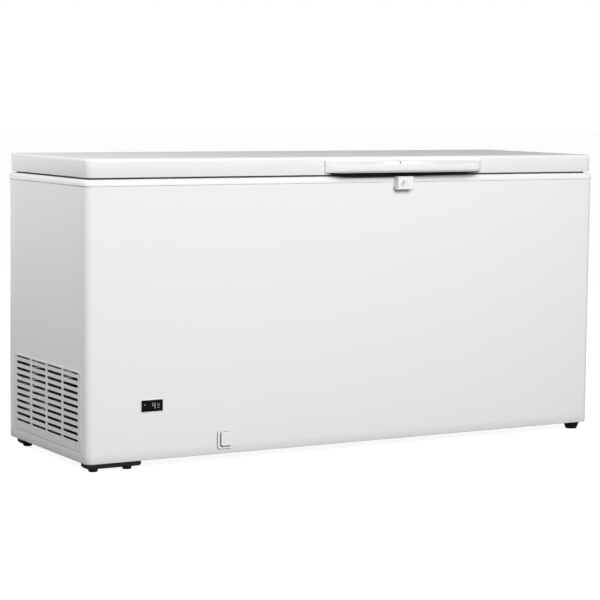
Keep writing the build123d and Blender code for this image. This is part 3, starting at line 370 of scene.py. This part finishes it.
# ---------------------------------------------------------------- lid skin
# Coated steel pan: one pressing with rounded top edges and drawn corners, hemmed inwards
# along its lower edge to hold the inner panel.
lid_lo, lid_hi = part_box("lid_skin")
lid_plan = (lid_lo.x, lid_hi.x, lid_lo.y, lid_hi.y)
LID_CORNER = 0.018
LID_EDGE = 0.008
lid_section = [(0.012, lid_lo.z), (0.0016, lid_lo.z), (0.0005, lid_lo.z + 0.0004), (0.0, lid_lo.z + 0.0014)]
for step in range(9):
    a = radians(90 * step / 8)
    lid_section.append((LID_EDGE * (1 - cos(a)), lid_hi.z - LID_EDGE * (1 - sin(a))))
lid_section += [(0.030, lid_hi.z), (0.060, lid_hi.z)]
lid_rings = [[(x, y, z) for x, y in outline(lid_plan, inset, LID_CORNER, ((0.0,), (0.0,), (0.0,), (0.0,)))]
             for inset, z in lid_section]
verts, faces = bands(lid_rings)
count = len(lid_rings[0])
faces.append(list(range((len(lid_rings) - 1) * count, len(lid_rings) * count)))
piece("lid_pan", verts, faces, white_coat, "lid", ["lid_skin"], 50)


# ---------------------------------------------------------------- lid inner panel
# Vacuum-formed white plastic sheet that closes the lid. Its middle drops into the tub's
# mouth and carries three shallow pressed panels that stiffen it.
panel_plastic = surface("lid_panel_plastic", (0.86, 0.865, 0.865), gloss=0.33, grain=500, bump=0.03, dust=0.0)
panel_lo, panel_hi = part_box("lid_inner_panel")
panel_plan = (panel_lo.x, panel_hi.x, panel_lo.y, panel_hi.y)
flange_z = lid_lo.z + 0.0002
plug_plan = (-0.768, 0.768, -0.197, 0.209)
panel_section = [(-0.0030, flange_z), (-0.0004, flange_z - 0.0018), (-0.0002, panel_lo.z + 0.0025),
                 (0.0006, panel_lo.z + 0.0008), (0.0025, panel_lo.z)]
panel_rings = [[(x, y, flange_z + 0.0004) for x, y in outline(panel_plan, 0.001, 0.017)]]
panel_rings += [[(x, y, z) for x, y in outline(plug_plan, inset, 0.018)] for inset, z in panel_section]
verts, faces = bands(panel_rings)
count = len(panel_rings[0])
hub = len(verts) - count
fields = [(-0.74, -0.26), (-0.24, 0.24), (0.26, 0.74)]
field_y = (plug_plan[2] + 0.030, plug_plan[3] - 0.030)
faces.append(list(range(hub, hub + count)))
piece("lid_lining", verts, faces, panel_plastic, "lid", ["lid_inner_panel"], 35)
for number, (x0, x1) in enumerate(fields):
    rings = []
    for inset, rise in ((0.0, -0.0003), (0.0, 0.0006), (0.003, 0.0012), (0.006, 0.0), (0.012, 0.0)):
        plan = outline((x0, x1, *field_y), inset, 0.025)
        rings.append([(x, y, panel_lo.z + 0.0012 - rise) for x, y in plan])
    verts, faces = bands(rings)
    count = len(rings[0])
    faces.append(list(range((len(rings) - 1) * count, len(rings) * count)))
    piece(f"lid_lining_field_{number + 1}", verts, faces, panel_plastic, "lid", [], 35)


# ---------------------------------------------------------------- gasket
# Grey PVC seal pushed into the lid's edge: a foot, two bellows folds and a flat magnetic
# strip that closes on the rim's deck.
gasket_pvc = surface("gasket_pvc", (0.24, 0.245, 0.25), gloss=0.55, grain=1200, bump=0.05, dust=0.0, spread=0.2)
seal_lo, seal_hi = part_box("lid_gasket")
seal_plan = (seal_lo.x, seal_hi.x, seal_lo.y, seal_hi.y)
rise = seal_hi.z - seal_lo.z
SEAL_SECTION = [
    (0.0015, 1.0), (0.0030, 0.80), (0.0008, 0.62), (0.0030, 0.44), (0.0002, 0.24), (0.0, 0.06), (0.0008, 0.0),
    (0.0168, 0.0), (0.0180, 0.06), (0.0178, 0.24), (0.0150, 0.44), (0.0172, 0.62), (0.0150, 0.80), (0.0165, 1.0),
]
seal_rings = [[(x, y, seal_lo.z + rise * h) for x, y in outline(seal_plan, inset, 0.012)]
              for inset, h in SEAL_SECTION]
verts, faces = bands(seal_rings + seal_rings[:1])
piece("gasket_seal", verts, faces, gasket_pvc, "lid", ["lid_gasket"], 60)


# ---------------------------------------------------------------- handle
# Injection-moulded white grip, screwed to the lid's front. Slanted ends, a dished top, a
# lip that curls under, and open below for the fingers.
handle_plastic = surface("handle_plastic", (0.89, 0.89, 0.885), gloss=0.34, grain=600, bump=0.02, dust=0.0)
grip_lo, grip_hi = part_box("handle")
GRIP_WALL = 0.003
END_SLOPE = 0.040
END_EASE = 14.0
GRIP_TOP = 0.838
back_y, face_y = lid_lo.y, grip_lo.y
grip_deep = back_y - face_y
grip_mid = (grip_lo.x + grip_hi.x) / 2


def dish(t):
    """Height of the grip's top surface; t runs from the lid (0) to the front edge (1)."""
    return GRIP_TOP - 0.0080 * t - 0.0034 * sin(pi * min(t * 1.1, 1.0))


def grip_reach(x):
    """How far the grip stands off the lid at x, eased where the slanted ends meet the face."""
    t = min(x - grip_lo.x, grip_hi.x - x) / END_SLOPE
    return -grip_deep / END_EASE * log(exp(-END_EASE * t) + exp(-END_EASE))


half = [grip_lo.x + 0.0004 + END_SLOPE * 1.5 * (i / 14) for i in range(15)]
half += [grip_lo.x + 0.11, grip_mid - 0.1]
stations = half + [grip_mid] + [grip_lo.x + grip_hi.x - x for x in reversed(half)]
sections = []
for x in stations:
    deep = max(grip_reach(x), 0.0004)
    share = deep / grip_deep
    ring = [(x, back_y, GRIP_TOP - 0.0002)]
    ring += [(x, back_y - deep * t, dish(t * share)) for t in (0.06, 0.2, 0.35, 0.5, 0.65, 0.8, 0.9)]
    front = back_y - deep
    top = dish(share)
    ring += [(x, front + min(0.0016, deep * 0.05), top - 0.0002),
             (x, front + min(0.0004, deep * 0.02), top - 0.0012)]
    ring += [(x, front, top - 0.0032), (x, front, 0.8122), (x, front + 0.0006 * share, 0.8106),
             (x, front + 0.0040 * share, 0.8068), (x, front + 0.0075 * share, 0.8050),
             (x, front + 0.0110 * share, 0.8046)]
    sections.append(ring)
verts, faces = bands(sections, closed=False)
piece("handle_grip", verts, faces, handle_plastic, "lid", ["handle"], 32,
      [("SOLIDIFY", {"thickness": GRIP_WALL, "offset": -1.0})])

# Black rubber for the real mounts, loom and gland. The strip hung under the grip is painted shade: a dark sheet
# standing in for the shadowed gap between the handle and the rim, deepest in the middle and thinning towards both
# ends.
black_rubber = surface("black_rubber", (0.010, 0.010, 0.010), gloss=0.7, grain=520, bump=0.12, dust=0.0)
strip_y = (back_y - 0.0085, back_y - 0.0063)
strip_top = grip_lo.z + 0.0055
STRIP_DROP = 0.0165
STRIP_END_DROP = 0.0048
STRIP_INSET = 0.014
hangs = []
for i in range(33):
    t = i / 32
    x = grip_lo.x + STRIP_INSET + (grip_hi.x - grip_lo.x - 2 * STRIP_INSET) * t
    low = strip_top - STRIP_END_DROP - (STRIP_DROP - STRIP_END_DROP) * (1 - exp(-18 * t)) * (1 - t ** 2.6)
    hangs.append([(x, strip_y[0], strip_top), (x, strip_y[0], low + 0.0006), (x, strip_y[0] + 0.0006, low),
                  (x, strip_y[1] - 0.0006, low), (x, strip_y[1], low + 0.0006), (x, strip_y[1], strip_top)])
verts, faces = bands(hangs)
faces += [list(range(6)), list(range(len(verts) - 6, len(verts)))]
piece("handle_painted_shade_strip", verts, faces, black_rubber, "lid", [], 40)

pad_x = (grip_mid - 0.098, grip_mid + 0.078)
pad_y = (back_y - 0.041, back_y - 0.003)
pad_slope = pad_x[0] + 0.085
rings = []
for inset, z in ((0.0, GRIP_TOP - 0.011), (0.0004, GRIP_TOP - 0.0020), (0.0012, GRIP_TOP - 0.0006),
                 (0.0026, GRIP_TOP + 0.0002), (0.007, GRIP_TOP + 0.0004)):
    rings.append([(x, y, z - max(x - pad_slope, 0.0) * 0.06) for x, y in outline(
        (*pad_x, *pad_y), inset, 0.005, ((pad_slope,), (), (pad_slope,), ()))])
verts, faces = bands(rings)
count = len(rings[0])
faces.append(list(range((len(rings) - 1) * count, len(rings) * count)))
piece("handle_pad", verts, faces, handle_plastic, "lid", [], 32)


# ---------------------------------------------------------------- side grille
# Injection-moulded louvre panel in matt white plastic, screwed over the left end of the
# machine space; the moulding leaves a small radius on every edge.
def eased(node, mat, width, segments=2):
    """Shows a copy of the modelled piece with its edges rounded, in its own place."""
    record = frame["record"]
    body = next(name for name, members in record["behaviour"]["bodies"].items() if node in members)
    mesh = nodes[node].data.copy()
    mesh.materials.clear()
    mesh.materials.append(mat)
    obj = bpy.data.objects.new(node + "_finished", mesh)
    bpy.context.scene.collection.objects.link(obj)
    obj.modifiers.new("weld", "WELD").merge_threshold = 0.00001
    bevel = obj.modifiers.new("edge", "BEVEL")
    bevel.width, bevel.segments = width, segments
    bevel.limit_method, bevel.angle_limit = "ANGLE", radians(32)
    obj.modifiers.new("normals", "WEIGHTED_NORMAL")
    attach(obj, body)
    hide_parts(node)


def finish(names, mat):
    """Gives pieces that keep their modelled shape their finish."""
    for node in names:
        nodes[node].material_slots[0].material = mat


grille_plastic = surface("grille_plastic", (0.80, 0.80, 0.79), gloss=0.5, grain=420, bump=0.06, dust=0.25)
eased("side_grille", grille_plastic, 0.0004)


# ---------------------------------------------------------------- drain and lock housings
# White ABS mouldings screwed or pressed to the wrap: the lock's housing under the handle,
# the drain outlet's plate with its push-on cap, and the collar in the tub's floor.
for node in ("lock_housing", "drain_outlet", "drain_cap"):
    eased(node, white_plastic, 0.0007, 3)
eased("floor_drain_collar", white_plastic, 0.0004)
grey_rubber = surface("grey_rubber", (0.33, 0.34, 0.35), gloss=0.6, grain=520, bump=0.08)
eased("floor_drain_plug", grey_rubber, 0.0006)


# ---------------------------------------------------------------- lock barrel
# Die-cast zinc barrel with a satin chrome face; its crank drives the sliding bolt.
satin = surface("satin_chrome", (0.86, 0.86, 0.85), gloss=0.42, grain=800, bump=0.02, metallic=0.35, dust=0.0)
eased("lock_cylinder", satin, 0.0003)


# ---------------------------------------------------------------- feet, skids and spacers
# Black polypropylene mouldings screwed under the base and to the back; their lower edges
# are scuffed pale where they have been dragged.
black_plastic = surface("black_moulding", (0.006, 0.006, 0.007), (0.012, 0.012, 0.012), gloss=0.58, grain=380,
                        bump=0.12, wear=0.4, edge=(0.05, 0.05, 0.05), dust=0.03)
black_plastic.node_tree.nodes["Principled BSDF"].inputs["Specular IOR Level"].default_value = 0.22
for node in ("left_skids", "right_feet", "rear_spacers"):
    eased(node, black_plastic, 0.0012, 3)
for node in ("relay_box", "spring_cups"):
    eased(node, black_plastic, 0.0006)


# ---------------------------------------------------------------- grey mouldings
# Mid-grey plastic where only service staff look: hinge covers, controller box, drain hose.
grey_plastic = surface("grey_moulding", (0.36, 0.37, 0.38), gloss=0.45, grain=500, bump=0.05, wear=0.2,
                       edge=(0.55, 0.55, 0.55), dust=0.1)
for node in ("hinge_covers", "controller_box", "drain_tube"):
    eased(node, grey_plastic, 0.0008)


# ---------------------------------------------------------------- plated fixings
# Zinc-plated pressed steel and turned parts: hinge leaves, pins, springs, screws, the bolt
# of the lock. The plating has gone a little cloudy.
zinc = surface("zinc_plated_steel", (0.62, 0.63, 0.65), (0.50, 0.50, 0.47), gloss=0.28, grain=260, bump=0.04,
               metallic=1.0, wear=0.3, spread=0.25, dust=0.1)
for node in ("hinge_bodies", "hinge_arms", "lock_bolt", "compressor_bolts"):
    eased(node, zinc, 0.0003)
finish(("hinge_pins", "cabinet_screws", "lid_screws", "temperature_probe", "hinge_springs"), zinc)


# ---------------------------------------------------------------- galvanised panels
# Bare galvanised sheet on the back, the bottom and round the machine space, with the
# broad cloudy spangle of hot-dipped zinc.
galvanised = surface("galvanised_sheet", (0.58, 0.60, 0.61), (0.70, 0.71, 0.72), gloss=0.46, grain=60, bump=0.03,
                     metallic=0.6, spread=0.3, drift_amount=0.9, dust=0.3)
finish(("rear_panel", "bottom_panel", "base_plate", "machine_partition"), galvanised)


# ---------------------------------------------------------------- compressor and pipework
# Black-enamelled steel can with its cast motor inside, copper tubes brazed to it, a painted
# steel condenser coil behind the wrap, and rubber mounts, loom and gland.
dark_enamel = surface("black_enamel", (0.012, 0.012, 0.013), gloss=0.28, grain=160, bump=0.05, wear=0.5,
                      edge=(0.12, 0.11, 0.10), dust=0.4)
finish(("compressor_can", "compressor_cradle", "lock_keeper"), dark_enamel)
dull_iron = surface("motor_iron", (0.18, 0.17, 0.16), (0.26, 0.22, 0.19), gloss=0.6, grain=300, bump=0.2,
                    metallic=0.7)
finish(("compressor_motor",), dull_iron)
copper = surface("copper_tube", (0.34, 0.16, 0.09), (0.20, 0.10, 0.06), gloss=0.36, grain=200, bump=0.03,
                 metallic=1.0, drift_amount=0.6, spread=0.3)
finish(("discharge_tube", "liquid_tube", "capillary_tube", "suction_tube", "filter_drier"), copper)
steel_tube = surface("painted_tube", (0.04, 0.04, 0.04), gloss=0.45, grain=240, bump=0.04)
finish(("condenser_tube",), steel_tube)
finish(("evaporator_tube",), stucco)
finish(("compressor_mounts", "wiring_loom", "power_inlet_gland"), black_rubber)


# ---------------------------------------------------------------- foam and circuit board
# Poured polyurethane foam fills the walls and the lid, yellowed and lightly pitted; the
# display's board sits in the controller box.
foam_yellow = surface("poured_foam", (0.72, 0.60, 0.34), (0.60, 0.48, 0.25), gloss=0.8, grain=160, bump=0.5,
                      drift_amount=0.8)
finish(("cabinet_foam", "lid_foam"), foam_yellow)
board_green = surface("circuit_board", (0.01, 0.10, 0.04), gloss=0.35, grain=90, bump=0.02)
finish(("display_board",), board_green)


# ---------------------------------------------------------------- display
# Smoked acrylic window in a pale bezel; the lit marks shine through from the board behind.
bezel_plastic = surface("bezel_plastic", (0.84, 0.84, 0.83), gloss=0.4, grain=600, bump=0.03)
smoked = surface("smoked_window", (0.003, 0.003, 0.0035), gloss=0.3, grain=60, bump=0.0, spread=0.06)
smoked.node_tree.nodes["Principled BSDF"].inputs["Specular IOR Level"].default_value = 0.2
lit = surface("lit_marks", (0.34, 0.36, 0.37), gloss=0.4, grain=300, bump=0.0)
lit_shader = lit.node_tree.nodes["Principled BSDF"]
lit_shader.inputs["Emission Color"].default_value = (0.85, 0.92, 1.0, 1)
lit_shader.inputs["Emission Strength"].default_value = 0.14
eased("display_bezel", bezel_plastic, 0.0004)
finish(("display_window",), smoked)
finish(("display_marks",), lit)


# ---------------------------------------------------------------- painted shade plates and pad plug
# Thin dark plates behind the drain plate, its cap and the lock housing, let out mostly to the left
# and below: painted shade for the shaded edges there. One small dark plug is pressed into the handle's pad.
shade_and_plug_rubber = surface("thin_shade_and_plug_rubber", (0.05, 0.05, 0.052), gloss=0.75, grain=520, bump=0.1, dust=0.0)


def slab(name, box, corner, y_front, y_back, mat, body):
    """Flat plate standing upright, with rounded corners; box is x0, x1, z0, z1."""
    rings = []
    for inset, y in ((0.0, y_back), (0.0, y_front + 0.0002), (0.0002, y_front)):
        rings.append([(x, y, z) for x, z in outline(box, inset, corner)])
    verts, faces = bands(rings)
    count = len(rings[0])
    faces += [list(range(count)), list(range(2 * count, 3 * count))]
    piece(name, verts, faces, mat, body, [], 40)


def grown(lo, hi, left, right, low, high):
    """Front outline of a piece, let out on each side."""
    return (lo.x - left, hi.x + right, lo.z - low, hi.z + high)


cap_lo, cap_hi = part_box("drain_cap")
lock_lo, lock_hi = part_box("lock_housing")
wrap_front = wrap_lo.y
# The next three dark plates are painted shade along the left and lower edges of the drain plate, its cap and the
# lock housing.
slab("drain_plate_painted_shade", grown(drain_lo, drain_hi, 0.0012, 0.0004, 0.0014, 0.0002), 0.008,
     wrap_front - 0.0010, wrap_front - 0.0001, shade_and_plug_rubber, "cabinet")
slab("drain_cap_painted_shade", grown(cap_lo, cap_hi, 0.0016, 0.0004, 0.0020, 0.0006), 0.006,
     cap_lo.y + 0.0030, cap_lo.y + 0.0049, shade_and_plug_rubber, "drain_cap")
slab("lock_painted_shade", (lock_lo.x - 0.0014, lock_hi.x + 0.0006, lock_lo.z - 0.0022, rim_lo.z - 0.0004), 0.003,
     wrap_front - 0.0010, wrap_front - 0.0001, shade_and_plug_rubber, "cabinet")
plug_rings = []
for radius, out in ((0.0026, 0.0), (0.0026, 0.0006), (0.0018, 0.0012), (0.0006, 0.0014)):
    plug_rings.append([(pad_x[0] + 0.058 + radius * cos(a * pi / 8), pad_y[0] + 0.0006 - out,
                        GRIP_TOP - 0.0045 + radius * sin(a * pi / 8)) for a in range(16)])
verts, faces = bands(plug_rings)
faces += [list(range(16)), list(range(48, 64))]
piece("handle_pad_plug", verts, faces, shade_and_plug_rubber, "lid", [], 50)


# ---------------------------------------------------------------- rear vent cover
# Galvanised sheet with two banks of pressed louvres, each hooded so that it opens
# downwards; four screws hold it over the machine space.
vent_lo, vent_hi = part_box("rear_vent_panel")
BANKS = ((-0.795, -0.719), (-0.686, -0.610))
LOUVRES = [(0.0905 + 0.018 * k, 0.1005 + 0.018 * k) for k in range(9)]
HOOD = 0.004
vent_y = vent_hi.y - 0.0003
xs = [vent_lo.x, *BANKS[0], *BANKS[1], vent_hi.x]
zs = [vent_lo.z, *(z for pair in LOUVRES for z in pair), vent_hi.z]
verts = [(x, vent_y, z) for z in zs for x in xs]
faces = []
for row in range(len(zs) - 1):
    for col in range(len(xs) - 1):
        if row % 2 and col in (1, 3):
            continue
        a = row * len(xs) + col
        faces.append((a, a + 1, a + 1 + len(xs), a + len(xs)))
HOOD_STEPS = 5
for x0, x1 in BANKS:
    for z0, z1 in LOUVRES:
        start = len(verts)
        for step in range(HOOD_STEPS + 1):
            t = step / HOOD_STEPS
            out, z = HOOD * sin(t * pi / 2), z1 + (z0 - z1) * t
            ease = 0.004 * sin(t * pi / 2)
            verts += [(x0, vent_y, z), (x0 + ease, vent_y + out, z),
                      (x1 - ease, vent_y + out, z), (x1, vent_y, z)]
        for step in range(HOOD_STEPS):
            a = start + 4 * step
            faces += [(a + k, a + k + 1, a + k + 5, a + k + 4) for k in range(3)]
piece("vent_cover", verts, faces, galvanised, "cabinet", ["rear_vent_panel"], 40,
      [("SOLIDIFY", {"thickness": 0.0012, "offset": -1.0}), ("EDGE_SPLIT", {"split_angle": radians(35)})])


# ---------------------------------------------------------------- basket
# Round steel wire, welded and dipped in white plastic: a bottom and four sides of crossed
# wires, a thicker top frame, and two hangers that rest on the rim's ledge.
wire_coat = surface("dipped_wire", (0.86, 0.87, 0.87), gloss=0.25, grain=300, bump=0.02, coat=0.3)
basket_lo, basket_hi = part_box("basket")
WIRE = 0.0016
FRAME_WIRE = 0.002
PITCH = 0.030


def wires(name, routes, radius, mat, body, replaced=()):
    """Round wires along polylines, as one mesh; a route given as a loop closes on itself."""
    curve = bpy.data.curves.new(name + "_path", "CURVE")
    curve.dimensions = "3D"
    curve.bevel_depth = radius
    curve.bevel_resolution = 3
    curve.use_fill_caps = True
    for points, closed in routes:
        spline = curve.splines.new("POLY")
        spline.points.add(len(points) - 1)
        for target, p in zip(spline.points, points):
            target.co = (*p, 1.0)
        spline.use_cyclic_u = closed
    holder = bpy.data.objects.new(name, curve)
    bpy.context.scene.collection.objects.link(holder)
    bpy.context.view_layer.update()
    mesh = bpy.data.meshes.new_from_object(holder)
    bpy.data.objects.remove(holder)
    mesh.materials.clear()
    mesh.materials.append(mat)
    mesh.shade_smooth()
    obj = bpy.data.objects.new(name, mesh)
    bpy.context.scene.collection.objects.link(obj)
    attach(obj, body)
    if replaced:
        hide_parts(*replaced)
    return obj


def loop_at(inset, z):
    """A wire loop round the basket at one height."""
    plan = (basket_lo.x + inset, basket_hi.x - inset, hang_y[0] + inset, hang_y[1] - inset)
    return [(x, y, z) for x, y in outline(plan, 0.0, 0.014)]


hang_y = (tub_lo.y + SHEET + 0.008, tub_hi.y - SHEET - 0.008)
bottom_z = basket_lo.z + 0.002
top_z = basket_hi.z - 0.002
edge = 0.0022
routes = [(loop_at(edge, z), True) for z in (top_z - 0.006, top_z - 0.075, top_z - 0.145)]
bend = 0.012
inset = edge + FRAME_WIRE + WIRE
x0, x1, y0, y1 = basket_lo.x + inset, basket_hi.x - inset, hang_y[0] + inset, hang_y[1] - inset


def u_wire(fixed, low, high, along_x):
    """One wire that runs down a side, under the goods and up the other side."""
    path = [(low, top_z - 0.006), (low, bottom_z + bend)]
    path += [(low + bend * (1 - cos(a)), bottom_z + bend * (1 - sin(a))) for a in (pi / 6, pi / 3, pi / 2)]
    path += [(high - bend * (1 - sin(a)), bottom_z + bend * (1 - cos(a))) for a in (0, pi / 6, pi / 3)]
    path += [(high, bottom_z + bend), (high, top_z - 0.006)]
    lift = WIRE * 2 if along_x else 0.0
    if along_x:
        return [(a, fixed, b + lift * (b < bottom_z + bend)) for a, b in path]
    return [(fixed, a, b) for a, b in path]


cross = []
columns = round((x1 - x0) / PITCH)
for i in range(1, columns):
    cross.append((u_wire(x0 + (x1 - x0) * i / columns, y0, y1, False), False))
rows = round((y1 - y0) / PITCH)
for i in range(1, rows):
    cross.append((u_wire(y0 + (y1 - y0) * i / rows, x0, x1, True), False))
hangers = []
for x in (basket_lo.x + edge, basket_hi.x - edge):
    hangers.append(([(x, basket_lo.y + 0.002, top_z), (x, basket_hi.y - 0.002, top_z)], False))
wires("basket_frame", routes + hangers, FRAME_WIRE, wire_coat, "basket", ["basket"])
wires("basket_wires", cross, WIRE, wire_coat, "basket", [])


# ---------------------------------------------------------------- studio
# Plain pale floor and backdrop colour, one broad light in front, softer ones low behind and at
# the left end.
floor_mesh = bpy.data.meshes.new("studio_floor")
floor_mesh.from_pydata([(-40, -40, 0), (40, -40, 0), (40, 40, 0), (-40, 40, 0)], [], [(0, 1, 2, 3)])
studio_floor = bpy.data.objects.new("studio_floor", floor_mesh)
bpy.context.scene.collection.objects.link(studio_floor)
pale = bpy.data.materials.new("pale_floor")
pale.use_nodes = True
pale_nodes, pale_link = pale.node_tree.nodes, pale.node_tree.links.new
pale_nodes.clear()
seen = pale_nodes.new("ShaderNodeLightPath")
matt = pale_nodes.new("ShaderNodeBsdfDiffuse")
matt.inputs["Color"].default_value = (0.22, 0.22, 0.22, 1)
glow = pale_nodes.new("ShaderNodeEmission")
glow.inputs["Color"].default_value = (1, 1, 1, 1)
glow.inputs["Strength"].default_value = 0.93
both = pale_nodes.new("ShaderNodeAddShader")
pick = pale_nodes.new("ShaderNodeMixShader")
floor_out = pale_nodes.new("ShaderNodeOutputMaterial")
pale_link(matt.outputs[0], both.inputs[0])
pale_link(glow.outputs[0], both.inputs[1])
pale_link(seen.outputs["Is Camera Ray"], pick.inputs["Fac"])
pale_link(matt.outputs[0], pick.inputs[1])
pale_link(both.outputs[0], pick.inputs[2])
pale_link(pick.outputs[0], floor_out.inputs["Surface"])
floor_mesh.materials.append(pale)

world = bpy.data.worlds.new("studio")
bpy.context.scene.world = world
world.use_nodes = True
sky = world.node_tree
sky_seen = sky.nodes.new("ShaderNodeLightPath")
backdrop = sky.nodes.new("ShaderNodeBackground")
backdrop.inputs["Color"].default_value = (1, 1, 1, 1)
backdrop.inputs["Strength"].default_value = 1.0
ambient = sky.nodes["Background"]
ambient.inputs["Color"].default_value = (1, 1, 1, 1)
heading = sky.nodes.new("ShaderNodeTexCoord")
height = sky.nodes.new("ShaderNodeSeparateXYZ")
fade = sky.nodes.new("ShaderNodeMapRange")
fade.inputs["To Min"].default_value = 0.46
fade.inputs["To Max"].default_value = 0.12
sky.links.new(heading.outputs["Generated"], height.inputs["Vector"])
sky.links.new(height.outputs["Z"], fade.inputs["Value"])
sky.links.new(fade.outputs["Result"], ambient.inputs["Strength"])
sky_pick = sky.nodes.new("ShaderNodeMixShader")
sky.links.new(sky_seen.outputs["Is Camera Ray"], sky_pick.inputs["Fac"])
sky.links.new(ambient.outputs[0], sky_pick.inputs[1])
sky.links.new(backdrop.outputs[0], sky_pick.inputs[2])
sky.links.new(sky_pick.outputs[0], sky.nodes["World Output"].inputs["Surface"])


def softbox(name, place, target, size, power):
    """Square area light facing a point."""
    light = bpy.data.lights.new(name, "AREA")
    light.shape = "RECTANGLE"
    light.size, light.size_y = size
    light.energy = power
    obj = bpy.data.objects.new(name, light)
    bpy.context.scene.collection.objects.link(obj)
    aim = (Vector(target) - Vector(place)).to_track_quat("-Z", "Y")
    obj.matrix_world = Matrix.Translation(place) @ aim.to_matrix().to_4x4()


softbox("front_softbox", (-0.1, -4.6, 3.0), (0.0, 0.0, 0.78), (5.0, 2.2), 240)
softbox("rear_softbox", (0.4, 4.6, 0.42), (0.0, 0.3, 0.40), (4.0, 0.7), 90)
softbox("end_softbox", (-2.4, 0.2, 2.2), (-0.85, 0.0, 0.86), (1.4, 0.9), 31)

# Camera: long lens, a little above the lid, about thirty degrees round to the left.
YAW, PITCH_DOWN, ROLL = 0.52196, 0.10029, 0.00954
lens = bpy.data.cameras.new("camera")
lens.sensor_width = 36.0
lens.lens = 124.11
lens.clip_end = 200.0
camera = bpy.data.objects.new("camera", lens)
bpy.context.scene.collection.objects.link(camera)
turn = Matrix.Rotation(-YAW, 4, "Z") @ Matrix.Rotation(pi / 2 - PITCH_DOWN, 4, "X") @ Matrix.Rotation(ROLL, 4, "Z")
camera.matrix_world = Matrix.Translation((-3.1055, -5.3485, 1.0335)) @ turn
bpy.context.scene.camera = camera
bpy.context.scene.view_settings.view_transform = "Standard"
